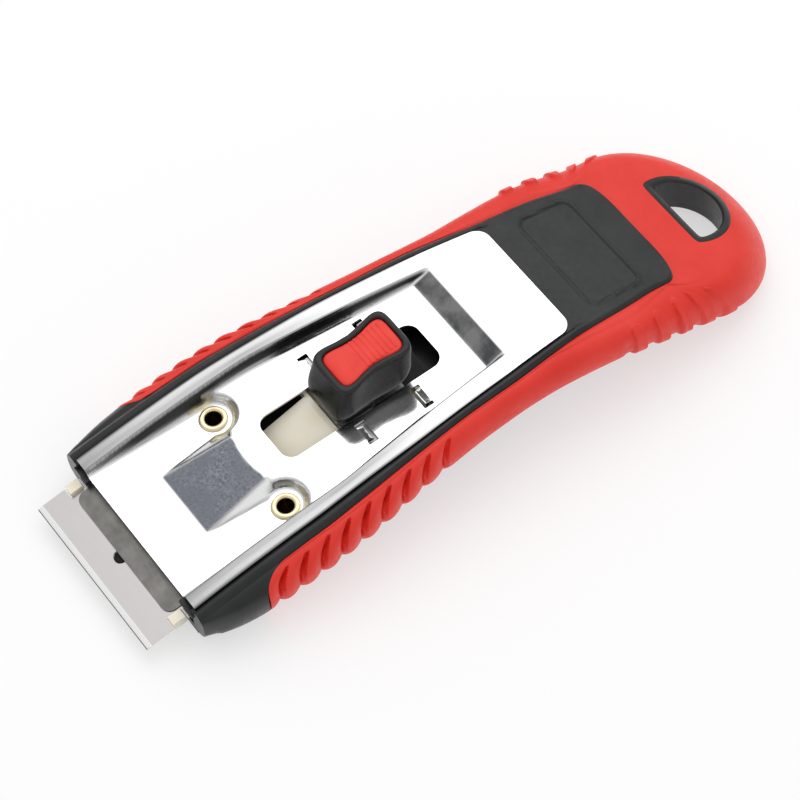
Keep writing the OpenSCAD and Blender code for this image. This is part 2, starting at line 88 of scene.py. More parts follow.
# Outlines along the handle as (y, value): thickness, then half widths of the cover,
# of the crease beside its beads, of the rim and of the body
THICK = [(10, 8.4), (15, 11.4), (20, 13.4), (26, 14.2), (40, 14.3), (62, 13.0), (84, 12.0),
         (104, 12.2), (132, 12.9), (150, 12.3), (166, 11.2)]
COVER = [(11, 21.5), (42, 21.2), (55, 20.5), (67, 19.8), (78, 18.8), (90, 17.7), (109, 15.6)]
CREASE = [(11, 17.9), (50, 17.8), (60, 16.8), (90, 13.6), (106, 12.0)]
RIM = [(10, 24.2), (43, 23.8), (55, 22.8), (67, 21.6), (79, 20.4), (92, 19.6), (108, 17.6),
       (122, 16.9), (130, 15.9)]
BODY = [(8, 23.4), (11, 25.2), (15, 26.6), (20, 27.5), (30, 28.3), (42, 28.3), (52, 27.8),
        (60, 26.6), (68, 25.3), (80, 23.9), (92, 23.0), (100, 22.8), (110, 23.2), (124, 23.9),
        (143, 23.9)]


def along(knots, y, d=3.0):
    """Smoothed value of a short outline at y."""
    ky, kv = zip(*knots)
    parts = ((-d, 1), (-d / 2, 2), (0, 2), (d / 2, 2), (d, 1))
    return sum(weight * np.interp(y + shift, ky, kv) for shift, weight in parts) / 8


def rim_z(y):
    """Height of the rim line, two arcs that meet at ARC_JOIN."""
    y = np.asarray(y, float)
    front = ARC_TOP - ARC_A + np.sqrt(ARC_A**2 - (y - ARC_Y) ** 2)
    rear = ARC_ZB + np.sqrt(np.maximum(ARC_B**2 - (y - ARC_YB) ** 2, 0))
    return np.where(y < ARC_JOIN, front, rear)


def step(a, b, t):
    """Smooth step from 0 at a to 1 at b."""
    k = np.clip((np.asarray(t, float) - a) / (b - a), 0, 1)
    return k * k * (3 - 2 * k)


def laid(points):
    """Slide frame in mm to the row frame in metres."""
    p = np.asarray(points, float).reshape(-1, 3)
    c, s = math.cos(REST_TILT), math.sin(REST_TILT)
    out = np.empty_like(p)
    out[:, 0] = p[:, 0]
    out[:, 1] = p[:, 1] * c - p[:, 2] * s + REST_Y
    out[:, 2] = p[:, 1] * s + p[:, 2] * c + REST_Z
    return out / 1000


def table_z(y):
    """Height of the table under y, in the slide frame."""
    return -REST_Z / math.cos(REST_TILT) - y * math.tan(REST_TILT)


# Meshes
def raw_object(name, points, faces):
    """Object from points in the slide frame, laid down in the row frame."""
    mesh = bpy.data.meshes.new(name)
    mesh.from_pydata(laid(points).tolist(), [], [list(f) for f in faces])
    obj = bpy.data.objects.new(name, mesh)
    scene.collection.objects.link(obj)
    return obj


def cleaned(obj, gap=2e-6):
    """Doubles merged and faces turned outwards."""
    bm = bmesh.new()
    bm.from_mesh(obj.data)
    bmesh.ops.remove_doubles(bm, verts=bm.verts, dist=gap)
    bmesh.ops.dissolve_degenerate(bm, edges=bm.edges, dist=1e-7)
    bmesh.ops.recalc_face_normals(bm, faces=bm.faces)
    bm.to_mesh(obj.data)
    bm.free()
    return obj


def loft(rings, closed_ends=True):
    """Points and faces over rings of equal length, each a closed loop."""
    n, m = len(rings[0]), len(rings)
    points = np.concatenate([np.asarray(r, float) for r in rings])
    faces = []
    for i in range(m - 1):
        for j in range(n):
            k = (j + 1) % n
            faces.append((i * n + j, i * n + k, (i + 1) * n + k, (i + 1) * n + j))
    if closed_ends:
        points = np.vstack([points, np.mean(rings[0], 0), np.mean(rings[-1], 0)])
        for j in range(n):
            k = (j + 1) % n
            faces.append((m * n, k, j))
            faces.append((m * n + 1, (m - 1) * n + j, (m - 1) * n + k))
    return points, faces


def prism(outline, z0, z1):
    """Upright prism over a plan outline."""
    n = len(outline)
    low = [(x, y, z0) for x, y in outline]
    high = [(x, y, z1) for x, y in outline]
    faces = [tuple(range(n - 1, -1, -1)), tuple(range(n, 2 * n))]
    faces += [(i, (i + 1) % n, n + (i + 1) % n, n + i) for i in range(n)]
    return low + high, faces


def rounded(w, y0, y1, r, steps=8):
    """Plan outline of a slab of half width w with rounded corners."""
    out = []
    for cx, cy, a0 in ((w - r, y0 + r, -90), (w - r, y1 - r, 0), (-w + r, y1 - r, 90), (-w + r, y0 + r, 180)):
        for i in range(steps + 1):
            a = math.radians(a0 + 90 * i / steps)
            out.append((cx + r * math.cos(a), cy + r * math.sin(a)))
    return out


def circle(x, y, r, steps=64):
    """Plan outline of a circle."""
    return [(x + r * math.cos(2 * math.pi * i / steps), y + r * math.sin(2 * math.pi * i / steps))
            for i in range(steps)]


def hole_outline(inset, steps=96):
    """The hanging hole: a circle with its front cut flat, and the two corners rounded."""
    r = HOLE_R - inset
    flat = HOLE_FLAT + inset
    out = []
    for i in range(steps):
        a = 2 * math.pi * i / steps
        x, y = r * math.cos(a), HOLE_Y + r * math.sin(a)
        out.append((x, y if y > flat + 1.2 else flat + 1.2 * math.exp(min(0, (y - flat - 1.2) / 1.2))))
    return out


def carve(obj, cutters):
    """Takes the cutters away from obj and leaves a plain mesh."""
    for points, faces in cutters:
        tool = cleaned(raw_object("cutter", points, faces))
        mod = obj.modifiers.new("carve", "BOOLEAN")
        mod.operation = "DIFFERENCE"
        mod.solver = "MANIFOLD"
        mod.object = tool
        bpy.context.view_layer.update()
        graph = bpy.context.evaluated_depsgraph_get()
        mesh = bpy.data.meshes.new_from_object(obj.evaluated_get(graph))
        obj.modifiers.clear()
        obj.data = mesh
        bpy.data.objects.remove(tool)
    return obj


def finish_piece(obj, body, material, crease=32, stands_for=()):
    """Shading, material and the place of a piece in the frame."""
    mesh = obj.data
    if crease is not None:
        mesh.shade_smooth()
        mesh.set_sharp_from_angle(angle=math.radians(crease))
    mesh.materials.clear()
    mesh.materials.append(material)
    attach(obj, body)
    if stands_for:
        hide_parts(*stands_for)
    return obj


def points_of(mesh):
    """The mesh's points as an array."""
    return np.array([v.co for v in mesh.vertices], float).reshape(-1, 3)


def marked(mesh, name, values):
    """Stores one value for each point under a name that a finish reads."""
    layer = mesh.attributes.new(name, "FLOAT", "POINT")
    layer.data.foreach_set("value", np.asarray(values, np.float32))


# Finishes
# The part of a noise's values that the tones are spread over
MIDDLE = (0.3, 0.7)


class Finish:
    """A node material with short calls for the parts used here."""

    def __init__(self, name, base, metallic=0.0, roughness=0.5):
        self.mat = bpy.data.materials.new(name)
        self.mat.use_nodes = True
        self.tree = self.mat.node_tree
        self.shader = self.tree.nodes["Principled BSDF"]
        self.shader.inputs["Base Color"].default_value = (*base, 1)
        self.shader.inputs["Metallic"].default_value = metallic
        self.shader.inputs["Roughness"].default_value = roughness
        self.coords = self.tree.nodes.new("ShaderNodeTexCoord").outputs["Object"]

    def set(self, socket, value):
        self.shader.inputs[socket].default_value = value
        return self

    def link(self, source, target):
        self.tree.links.new(source, target)

    def scaled(self, size):
        """Object coordinates stretched by size, a number or one for each axis."""
        node = self.tree.nodes.new("ShaderNodeMapping")
        node.inputs["Scale"].default_value = size if isinstance(size, tuple) else (size,) * 3
        self.link(self.coords, node.inputs["Vector"])
        return node.outputs["Vector"]

    def noise(self, size, detail=3.0, rough=0.55):
        node = self.tree.nodes.new("ShaderNodeTexNoise")
        node.inputs["Scale"].default_value = 1.0
        node.inputs["Detail"].default_value = detail
        node.inputs["Roughness"].default_value = rough
        self.link(self.scaled(size), node.inputs["Vector"])
        return node.outputs["Fac"]

    def spread(self, source, low, high, frm=0.0, to=1.0):
        """Map a value from low..high to frm..to."""
        node = self.tree.nodes.new("ShaderNodeMapRange")
        node.inputs["From Min"].default_value = low
        node.inputs["From Max"].default_value = high
        node.inputs["To Min"].default_value = frm
        node.inputs["To Max"].default_value = to
        self.link(source, node.inputs["Value"])
        return node.outputs["Result"]

    def mixed(self, factor, a, b):
        """Mix two colours, each a tuple or a socket."""
        node = self.tree.nodes.new("ShaderNodeMix")
        node.data_type = "RGBA"
        self.link(factor, node.inputs["Factor"])
        for value, socket in ((a, node.inputs[6]), (b, node.inputs[7])):
            if isinstance(value, tuple):
                socket.default_value = (*value, 1)
            else:
                self.link(value, socket)
        return node.outputs[2]

    def combined(self, operation, a, b):
        """A socket a combined with b, a number or a socket."""
        node = self.tree.nodes.new("ShaderNodeMath")
        node.operation = operation
        self.link(a, node.inputs[0])
        if isinstance(b, (int, float)):
            node.inputs[1].default_value = b
        else:
            self.link(b, node.inputs[1])
        return node.outputs[0]

    def times(self, a, b):
        return self.combined("MULTIPLY", a, b)

    def plus(self, a, b):
        return self.combined("ADD", a, b)

    def mask(self, name):
        """The value that marked() stored under the name."""
        node = self.tree.nodes.new("ShaderNodeAttribute")
        node.attribute_name = name
        return node.outputs["Fac"]

    def colour(self, source):
        self.link(source, self.shader.inputs["Base Color"])
        return self

    def rough(self, source):
        self.link(source, self.shader.inputs["Roughness"])
        return self

    def tinted(self, size, detail, dark, light):
        """Base colour that drifts between two tones."""
        return self.colour(self.mixed(self.spread(self.noise(size, detail), *MIDDLE), dark, light))

    def worn(self, size, detail, low, high):
        """Roughness that drifts between two values."""
        return self.rough(self.spread(self.noise(size, detail), *MIDDLE, low, high))

    def bump(self, source, distance):
        """Fine relief, distance in metres."""
        node = self.tree.nodes.new("ShaderNodeBump")
        node.inputs["Strength"].default_value = 1.0
        node.inputs["Distance"].default_value = distance
        self.link(source, node.inputs["Height"])
        self.link(node.outputs["Normal"], self.shader.inputs["Normal"])
        return self


# Each finish is Finish(name, middle tone) with its drift of tone and wear, then a fine relief
def grip_rubber():
    f = Finish("soft_red_grip", (0.78, 0.035, 0.021), roughness=0.5)
    f.tinted(90, 3, (0.745, 0.029, 0.016), (0.81, 0.042, 0.027))
    f.worn(700, 2, 0.44, 0.56)
    f.bump(f.noise(2600, 2), 0.00002)
    f.set("Specular IOR Level", 0.36)
    return f.mat


def core_plastic():
    f = Finish("hard_black_core", (0.014, 0.015, 0.015), roughness=0.4)
    f.set("Specular IOR Level", 0.36)
    f.tinted(140, 3, (0.010, 0.011, 0.011), (0.019, 0.020, 0.020))
    f.worn(900, 2, 0.34, 0.46)
    f.bump(f.noise(4200, 2), 0.000012)
    return f.mat


def pressed_chrome():
    f = Finish("pressed_chrome_sheet", (0.90, 0.90, 0.905), metallic=1.0, roughness=0.1)
    # the ramps are rougher, and their colour is darkened and speckled as a painted dark reflection
    ramp = f.mask("ramp")
    speckle = f.spread(f.noise(1900, 4, 0.7), 0.36, 0.64)
    cloud = f.spread(f.noise(160, 3), *MIDDLE)
    ramp_painted_reflection = f.mixed(speckle, (0.090, 0.096, 0.112), (0.25, 0.262, 0.292))
    ramp_painted_reflection_tone = f.mixed(cloud, ramp_painted_reflection, (0.15, 0.158, 0.18))
    patch = f.spread(f.noise(150, 4, 0.6), 0.38, 0.62)
    ramp_painted_reflection_tone = f.mixed(f.mask("rear_ramp"), ramp_painted_reflection_tone, f.mixed(patch, (0.055, 0.057, 0.06), (0.20, 0.20, 0.20)))
    # the chrome is darkened as a painted dark reflection on the bead walls, crowns, edges and cup rims
    painted_dark_reflection = f.mask("painted_dark_reflection")
    chrome_with_painted_reflection = f.mixed(painted_dark_reflection, (0.92, 0.92, 0.925), (0.030, 0.030, 0.033))
    f.colour(f.mixed(ramp, chrome_with_painted_reflection, ramp_painted_reflection_tone))
    fine = f.spread(f.noise((2400, 240, 900), 3), *MIDDLE, 0.08, 0.15)
    f.rough(f.plus(f.plus(fine, f.times(ramp, 0.30)), f.times(painted_dark_reflection, 0.22)))
    f.bump(f.noise((1500, 180, 600), 2), 0.0000012)
    return f.mat


def turned_brass():
    f = Finish("turned_brass", (0.84, 0.72, 0.46), metallic=1.0, roughness=0.26)
    tone = f.mixed(f.spread(f.noise(600, 3), *MIDDLE), (0.78, 0.65, 0.39), (0.87, 0.76, 0.52))
    # the bores are painted dark brown as painted shade
    f.colour(f.mixed(f.mask("bore"), tone, (0.13, 0.085, 0.05)))
    f.worn(1500, 2, 0.2, 0.32)
    return f.mat


def cream_coat():
    f = Finish("cream_coated_strip", (0.945, 0.88, 0.72), roughness=0.35)
    f.tinted(220, 4, (0.93, 0.85, 0.66), (0.96, 0.91, 0.78))
    f.worn(900, 3, 0.28, 0.42)
    f.bump(f.noise(1800, 3), 0.000008)
    return f.mat


def ground_blade():
    f = Finish("ground_blade_steel", (0.52, 0.493, 0.493), metallic=1.0, roughness=0.3)
    grain = f.noise((250, 2600, 900), 3)
    body = f.mixed(f.spread(grain, 0.2, 0.8), (0.505, 0.478, 0.478), (0.535, 0.508, 0.508))
    # the bevel is painted near white as a painted highlight, the edge near black as a painted dark reflection
    blade_painted_bevel = f.mixed(f.mask("bevel"), body, (0.95, 0.94, 0.94))
    f.colour(f.mixed(f.mask("edge"), blade_painted_bevel, (0.08, 0.08, 0.082)))
    f.rough(f.spread(grain, 0.2, 0.8, 0.28, 0.33))
    return f.mat


def leaf_spring():
    f = Finish("dull_leaf_steel", (0.195, 0.189, 0.177), metallic=1.0, roughness=0.38)
    f.tinted(300, 4, (0.155, 0.151, 0.142), (0.235, 0.226, 0.212))
    f.worn((300, 2600, 800), 3, 0.3, 0.46)
    f.bump(f.noise(2200, 3), 0.000004)
    return f.mat


def button_plastic():
    f = Finish("button_black", (0.010, 0.011, 0.010), roughness=0.3)
    f.set("Specular IOR Level", 0.34)
    f.tinted(200, 3, (0.007, 0.008, 0.007), (0.013, 0.014, 0.013))
    f.worn(900, 2, 0.26, 0.36)
    f.bump(f.noise(5200, 2), 0.000008)
    return f.mat


def insert_plastic():
    f = Finish("button_insert_red", (0.87, 0.042, 0.027), roughness=0.4)
    f.set("Specular IOR Level", 0.36)
    f.tinted(300, 3, (0.84, 0.034, 0.022), (0.90, 0.050, 0.032))
    f.worn(1200, 2, 0.3, 0.42)
    f.bump(f.noise(3800, 2), 0.000012)
    return f.mat


def rolled_steel():
    f = Finish("rolled_spring_steel", (0.52, 0.52, 0.52), metallic=1.0, roughness=0.35)
    f.worn((400, 3000, 900), 3, 0.28, 0.42)
    f.tinted(500, 3, (0.45, 0.45, 0.455), (0.6, 0.6, 0.6))
    return f.mat


def steel_painted_as_shade():
    # near-black steel that stands in as painted shade: the slide's base down in the slot and the pin in the
    # blade's hole
    f = Finish("steel_painted_as_shade", (0.02, 0.02, 0.02), metallic=1.0, roughness=0.5)
    f.worn(900, 3, 0.45, 0.6)
    return f.mat


RED = grip_rubber()
BLACK = core_plastic()
CHROME = pressed_chrome()
BRASS = turned_brass()
CREAM = cream_coat()
BLADE = ground_blade()
LEAF = leaf_spring()
BUTTON = button_plastic()
INSERT = insert_plastic()
STEEL = rolled_steel()
SHADE = steel_painted_as_shade()


# The red grip
def shear_at(y):
    """How far a scallop leans forward for each mm that it runs outwards."""
    return -1.0 * (1 - step(74, 96, y))


def side_shift(station, out, reach):
    """How far a point out mm beyond the seam lies from its ring's station, along the handle."""
    front = float(1 - step(RED_Y, RED_Y + 10, station))
    o = min(1.0, out / max(reach, 0.1))
    # the red's front edge in plan starts further back at the seam and sweeps forward outwards
    curve = -4 + 4.2 * o + 5.5 * (1 - o) ** 1.4 + 3.5 * math.exp(-o / 0.08)
    return float(shear_at(station)) * out + front * curve


def scallop_depth(station, out, under=0.0):
    """Depth of the side's scallops: leaning lobes, and a short slot between each pair."""
    u = (station - GROOVE_Y) / PITCH
    k = min(math.floor(u), GROOVES - 1)
    t = (u - k) ** 0.7
    if k == GROOVES - 1:
        t = min(t, 0.5)
    fade = 1.0 - 0.08 * max(0.0, min(u, GROOVES) - 4)
    lobe = LOBE * (1 - 4 * t * (1 - t)) * float(step(1.3, 3.4, out))
    d = abs(u - min(max(round(u), 0), GROOVES - 1)) * PITCH
    end = math.hypot(d, 1.5 * max(0.0, 2.05 - out))
    slot = 1.25 * float(1 - step(0.42, 0.82, end)) * float(1 - step(0.2, 2.2, under))
    return fade * (lobe + slot * (1 - 0.35 * float(step(3.4, 4.4, out))))


def nub_height(station, arc):
    """Height of a nub, or depth of the band between them, arc mm above the widest line."""
    u = (station - NUB_Y) / NUB_PITCH
    last = NUBS * NUB_PITCH
    zone = float(step(-1.6, 0.2, station - NUB_Y) * (1 - step(last - 0.6, last + 1.8, station - NUB_Y)))
    band = -0.5 * zone * float(1 - step(0.2, 3.4, arc))
    if u < 0 or u > NUBS:
        return band
    d = (u - math.floor(u) - 0.5) * NUB_PITCH
    top = 3.6
    e = math.hypot(d, arc - top) if arc > top else abs(d)
    return band + float(1 - step(1.2, 1.62, e)) * (0.68 + 0.32 * float(1 - step(-0.5, 3.6, arc)))


def grip_ring(inner, outer, station):
    """One ring of the grip, from the seam with the core over the side to the underside."""
    inner, outer = np.asarray(inner, float), np.asarray(outer, float)
    length = np.linalg.norm(outer - inner)
    n = (outer - inner) / length
    # towards the tail the shoulder grows broader and falls further
    tail = float(step(118, 140, station))
    flat = length - min(float(np.interp(tail, (0, 1), SHOULDER)), length - 0.45)
    rise = float(np.interp(tail, (0, 1), SHOULDER_FALL))
    t = float(along(THICK, outer[1]))
    deep = t - SEAM_DROP - rise - 0.5
    foot = inner - n * SEAM_LEAN
    ring = []

    def place(q, drop, out, push=0.0, up=0.0):
        # one point, drop under the rim line, pushed outwards and up by the relief
        x, y = q[0] + n[0] * push, q[1] + side_shift(station, out, length) + n[1] * push
        z = float(rim_z(y)) - drop + up
        ring.append((x, y, max(z, table_z(y))))

    for v in np.linspace(0, 0.88, 7):
        place(inner + n * flat * v, SEAM_DROP - 0.25 * math.sin(math.pi * v), flat * v)
    for a in np.linspace(90, 0, 25):
        c, s = math.cos(math.radians(a)), math.sin(math.radians(a))
        out = flat + (length - flat) * c
        h = nub_height(station, math.radians(a) * 4.25)
        if shear_at(station) < 0:
            h -= scallop_depth(station, out)
        place(inner + n * out, SEAM_DROP + rise * (1 - s), out, h * c, h * s)
    for a in np.linspace(0, 84, 15)[1:]:
        c, s = math.cos(math.radians(a)), math.sin(math.radians(a))
        h = nub_height(station, -math.radians(a) * 5.5)
        if shear_at(station) < 0:
            h -= scallop_depth(station, length, deep * s)
        place(outer - n * TUCK * (1 - c), SEAM_DROP + rise + deep * s, length, h * c)
    for v in (0.8, 0.5, 0.2, 0):
        place(foot + (outer - n * TUCK - foot) * v, t - 0.45 * v, length)
    return ring


def pad_point(run):
    """Seam of the pad at a running length round the tail."""
    a = math.pi / 2 * (run / TAIL_RUN) ** 1.5
    return PAD_HALF * max(0.0, math.cos(a)) ** 0.42, SIDE_END + 4.9 * math.sin(a) ** 0.55


TAIL_RUN = (TAIL_Y - SIDE_END) + TAIL_R * math.pi / 2


def tail_point(run):
    """Widest line of the tail at a running length."""
    b = max(0.0, run - (TAIL_Y - SIDE_END)) / TAIL_R
    return TAIL_R * math.cos(b), SIDE_END + min(run, TAIL_Y - SIDE_END) + (TAIL_R - 0.29) * math.sin(b)


def grip_stations():
    """Half of the horseshoe, from the front end of the side to the middle of the tail."""
    near = [0.01, 0.16, 0.32, 0.42, 0.52, 0.62, 0.72, 0.82, 1.0, 1.35, 1.75, 2.2]
    sides = [GROOVE_Y + k * PITCH + v * d for k in range(GROOVES) for d in near for v in (-1, 1)]
    sides += [GROOVE_Y + (k + 0.5) * PITCH for k in range(GROOVES)]
    sides += [RED_Y + 0.06, RED_Y + 0.35, RED_Y + 0.8, RED_Y + 1.3]
    sides = np.array(sorted(set(round(v, 3) for v in sides if v > RED_Y)))
    plain = np.arange(sides[-1] + 1.2, NUB_Y - 0.2, 1.2)
    nubs = np.arange(NUB_Y, SIDE_END - 0.05, 0.2)
    runs = np.concatenate([np.arange(0, 14.4, 0.2), np.linspace(14.6, TAIL_RUN, 44)])
    rings = []
    for y in np.concatenate([sides, plain, nubs]):
        # a fine line parts the front end of the red from the core
        k = float(step(RED_Y, RED_Y + 0.6, y))
        inner = (float(along(RIM, y)), y)
        outer = (float(along(BODY, y + shear_at(y) * MID_OUT)) - 0.3 * (1 - k) ** 2, y)
        rings.append(grip_ring(inner, outer, y))
    for run in runs:
        rings.append(grip_ring(pad_point(run), tail_point(run), SIDE_END + run))
    return rings


def red_grip():
    """The soft grip: a horseshoe of rings along both sides and round the tail."""
    half = grip_stations()
    other = [[(-x, y, z) for x, y, z in ring] for ring in half[-2::-1]]
    points, faces = loft(half + other)
    obj = cleaned(raw_object("red_grip", points, faces))
    carve(obj, [prism(hole_outline(0), -30, 20)])
    return finish_piece(obj, "handle", RED, 40, ["grip_overmould"])


# The black core
# The label field: half width, both ends, rounding of its corners
LABEL = (13.2, 115.6, 128.8, 2.4)
# Steps of the strip beside the cover and beside the pad, as (part of its width, depth)
STRIP = ((0.05, 0.42), (0.22, 0.13), (0.34, 0.08), (0.56, 0.08), (0.66, 0.22), (0.90, 0.66))
PAD_STRIP = ((0.05, 0.36), (0.22, 0.35), (0.34, 0.33), (0.60, 0.30), (0.76, 0.40), (0.92, 0.66))
# Rounding of the cover's rear corners
CORNER = 2.9


def label_field(x, y):
    """Height of the label field's sunk floor and of the ridge round it."""
    w, y0, y1, r = LABEL
    qx = np.abs(x) - (w - r)
    qy = np.abs(y - (y0 + y1) / 2) - ((y1 - y0) / 2 - r)
    d = np.hypot(np.maximum(qx, 0), np.maximum(qy, 0)) + np.minimum(np.maximum(qx, qy), 0) - r
    return 0.26 * np.exp(-((d - 0.15) / 0.34) ** 2) - 0.2 * (1 - step(-0.55, -0.1, d))


def core_half(y, red):
    """Right half of a ring of the core, from the middle of the top to the seam's foot."""
    t = float(along(THICK, y))
    wr = float(along(RIM, y))
    part = 1.0 if red else max(0.0, (y - 20) / 8)
    under = y < COVER_Y[1] + 0.12
    wc = float(along(COVER, y)) + 0.12 if under else wr - PAD_EDGE
    wb = float(along(BODY, y + shear_at(y) * MID_OUT * part)) if y < RED_Y + 1 else wr + 4
    reach = wb - wr
    seam = side_shift(y, 0, reach) * part
    back = side_shift(y, reach, reach) * part
    half = []

    def place(x, drop, shift=0.0):
        half.append((x, y + shift, float(rim_z(y + shift)) - drop))

    if under:
        # beside the cover's rounded rear corners the top comes up level with the pad
        edge = cover_half(y) + 0.1 if y > COVER_Y[1] - CORNER else wc - 0.9
        for x in np.linspace(0, edge, 24):
            place(x, SHEET + 0.03)
        for x in np.linspace(edge + 0.02, wc, 10):
            place(x, PAD_DROP if edge < wc - 1 or y > COVER_Y[1] - CORNER else SHEET + 0.03)
    else:
        for x in np.linspace(0, wc, 34):
            place(x, PAD_DROP - float(label_field(x, y)))
    place(wc + 0.01, 0.5 if under else PAD_DROP + 0.01)
    # the strip between cover and grip: a shoulder, a thin bead, then a step down to the seam
    bare = float(step(COVER_Y[1], COVER_Y[1] + 3, y))
    for (k, d), (_, flush) in zip(STRIP, PAD_STRIP):
        place(wc + (wr - wc) * k, d + (flush - d) * bare, seam * k)
    place(wr, SEAM_DROP, seam)
    if red:
        for v in np.linspace(0.08, 0.94, 22):
            place(wr - SEAM_LEAN * v, SEAM_DROP + (t - SEAM_DROP) * v, seam + (back - seam) * v)
    else:
        rise = 3.6 if y < 14 else 4.6
        turn = min(TUCK, (wb - wr + 2.0) / 0.6)
        for a in list(np.linspace(86, 0, 11)) + list(np.linspace(-7, -84, 11)):
            c, s = math.cos(math.radians(a)), math.sin(math.radians(a))
            if a >= 0:
                place(wr + reach * c, SEAM_DROP + rise * (1 - s), side_shift(y, reach * c, reach) * part)
            else:
                below = t - SEAM_DROP - rise - 0.4
                place(wb - turn * (1 - c), SEAM_DROP + rise - below * s, back)
    place(wr - SEAM_LEAN, t, back)
    for x in (wr * 0.6, wr * 0.3, 0):
        place(x, t, back)
    return half


def core_end(run):
    """Ring at the rounded rear end of the pad, against the inside of the grip."""
    p, q = np.array(pad_point(run)), np.array(tail_point(run))
    n = SEAM_LEAN * (q - p) / np.linalg.norm(q - p)
    z, t = float(rim_z(p[1])), float(along(THICK, q[1])) - 1
    k = p[0] / PAD_HALF
    half = []
    for x in np.linspace(0, PAD_FIELD, 34):
        half.append((x * k, p[1], z - PAD_DROP + float(label_field(x * k, p[1]))))
    half.append(((PAD_FIELD + 0.01) * k, p[1], z - PAD_DROP - 0.01))
    half += [((PAD_FIELD + PAD_EDGE * m) * k, p[1], z - d) for m, d in PAD_STRIP]
    half.append((p[0], p[1], z - SEAM_DROP))
    for v in list(np.linspace(0.08, 0.94, 22)) + [1]:
        half.append((p[0] - n[0] * v, p[1] - n[1] * v, z - SEAM_DROP - t * v))
    half += [((p[0] - n[0]) * m, p[1] - n[1], z - SEAM_DROP - t) for m in (0.6, 0.3, 0)]
    return half


def whole_ring(half):
    """Both halves of a ring, with the points of the middle only once."""
    ring = [(x, y, max(z, table_z(y))) for x, y, z in half]
    return ring + [(-x, y, z) for x, y, z in ring[-2:0:-1]]


def cover_half(y):
    """Half width of the cover, less beside its rounded rear corners."""
    d = max(0.0, y - (COVER_Y[1] - CORNER)) / CORNER
    return float(along(COVER, y)) - CORNER * (1 - math.sqrt(max(0.0, 1 - min(1.0, d) ** 2)))


def cover_plan(steps=60):
    """Plan outline of the cover."""
    ys = list(np.linspace(COVER_Y[0], COVER_Y[1] - CORNER, steps))
    ys += [COVER_Y[1] - CORNER * (1 - math.sin(a)) for a in np.radians(np.linspace(9, 90, 11))]
    right = [(cover_half(y), y) for y in ys]
    return right + [(-x, y) for x, y in reversed(right)]


def black_core():
    """The hard core, with the mouth for the blade and the tray for the carriage cut out of it."""
    rings = [whole_ring(core_half(y, False))
             for y in [10.75, 11.0, 11.5, 12.2, 13, 14, 15, 16.5, 18, 20, 22, 24, 26, RED_Y - 0.05]]
    ys = [RED_Y, 29, 30.5] + list(np.arange(33, COVER_Y[1] - CORNER, 2.4))
    ys += list(np.arange(COVER_Y[1] - CORNER + 0.1, COVER_Y[1], 0.24)) + [COVER_Y[1] + 0.1, COVER_Y[1] + 0.14]
    ys += list(np.arange(110.0, 114.3, 1.2)) + list(np.arange(114.4, SIDE_END, 0.3))
    rings += [whole_ring(core_half(y, True)) for y in ys]
    for run in list(np.arange(0.02, 6, 0.5)) + list(np.linspace(6.5, TAIL_RUN - 1.0, 26)):
        rings.append(whole_ring(core_end(run)))
    points, faces = loft(rings)
    obj = cleaned(raw_object("black_core", points, faces))
    tray = [(float(along(CREASE, y)) + 0.55, y) for y in np.linspace(33, 96.6, 12)]
    # the mouth, the tray under the deck, the channel of the carrier and the room for the slide
    cutters = [
        prism([(20.7, 5), (20.7, 34.2), (-20.7, 34.2), (-20.7, 5)], -0.9, 13.1),
        prism(tray + [(-x, y) for x, y in reversed(tray)], 4.0, 14),
        prism([(9.2, 33), (9.2, 47), (-9.2, 47), (-9.2, 33)], 0.6, 5.6),
        prism(rounded(14.2, 44.6, 95, 2), 0.4, 5),
    ]
    for x in (-EYELET[0], EYELET[0]):
        cutters.append(prism(circle(x, EYELET[1], EYELET_R), -9, 6))
        cutters.append(prism(circle(x, EYELET[1], 4.2), -9, -4.2))
    carve(obj, cutters)
    return finish_piece(obj, "handle", BLACK, 30, ["handle_core"])


def front_shade_lips():
    """The two short lips in the core's black over the outer corners of the blade: painted shade in the gap
    between the ears and the cover's front edge.
    """
    for side, name in ((-1, "front_shade_lip_left"), (1, "front_shade_lip_right")):
        plan = [(16.9, 10.3), (21.4, 10.3), (21.4, 13.4), (16.9, 13.4)]
        plan = [(side * x, y) for x, y in (plan if side > 0 else plan[::-1])]
        obj = cleaned(raw_object(name, *prism(plan, 2.9, 4.1)))
        finish_piece(obj, "handle", BLACK, 30)


def eye_lining():
    """Black tube round the hanging hole, its top edge following the tail."""
    rings = []
    for outer, inner in zip(hole_outline(0.02), hole_outline(LIP)):
        outer, inner = np.array(outer), np.array(inner)
        top_o, top_i = float(rim_z(outer[1])) - 0.84, float(rim_z(inner[1])) - 0.92
        low_o = max(float(rim_z(outer[1])) - 10.4, table_z(outer[1]) + 0.5)
        low_i = max(float(rim_z(inner[1])) - 10.4, table_z(inner[1]) + 0.5)
        levels = ((0, low_o), (0, top_o - 0.15), (0.04, top_o), (0.5, (top_o + top_i) / 2 + 0.16),
                  (0.75, top_i + 0.06), (1, top_i - 0.32), (1, low_i))
        rings.append([(*(outer + (inner - outer) * k), z) for k, z in levels])
    n = len(rings[0])
    points = [p for ring in rings for p in ring]
    m = len(rings)
    faces = [(i * n + j, ((i + 1) % m) * n + j, ((i + 1) % m) * n + (j + 1) % n, i * n + (j + 1) % n)
             for i in range(m) for j in range(n)]
    obj = cleaned(raw_object("eye_lining", points, faces))
    return finish_piece(obj, "handle", BLACK, 40)


# The pressed cover
def cup_wall(x, y):
    """Cone of the cups: height allowed at a point, high away from them."""
    rho = np.hypot(np.abs(x) - CUP[0], y - CUP[1])
    return np.where(rho < 5.0, FLOOR_Z + 2.0 * np.maximum(rho - CUP_R, 0), 99.0)


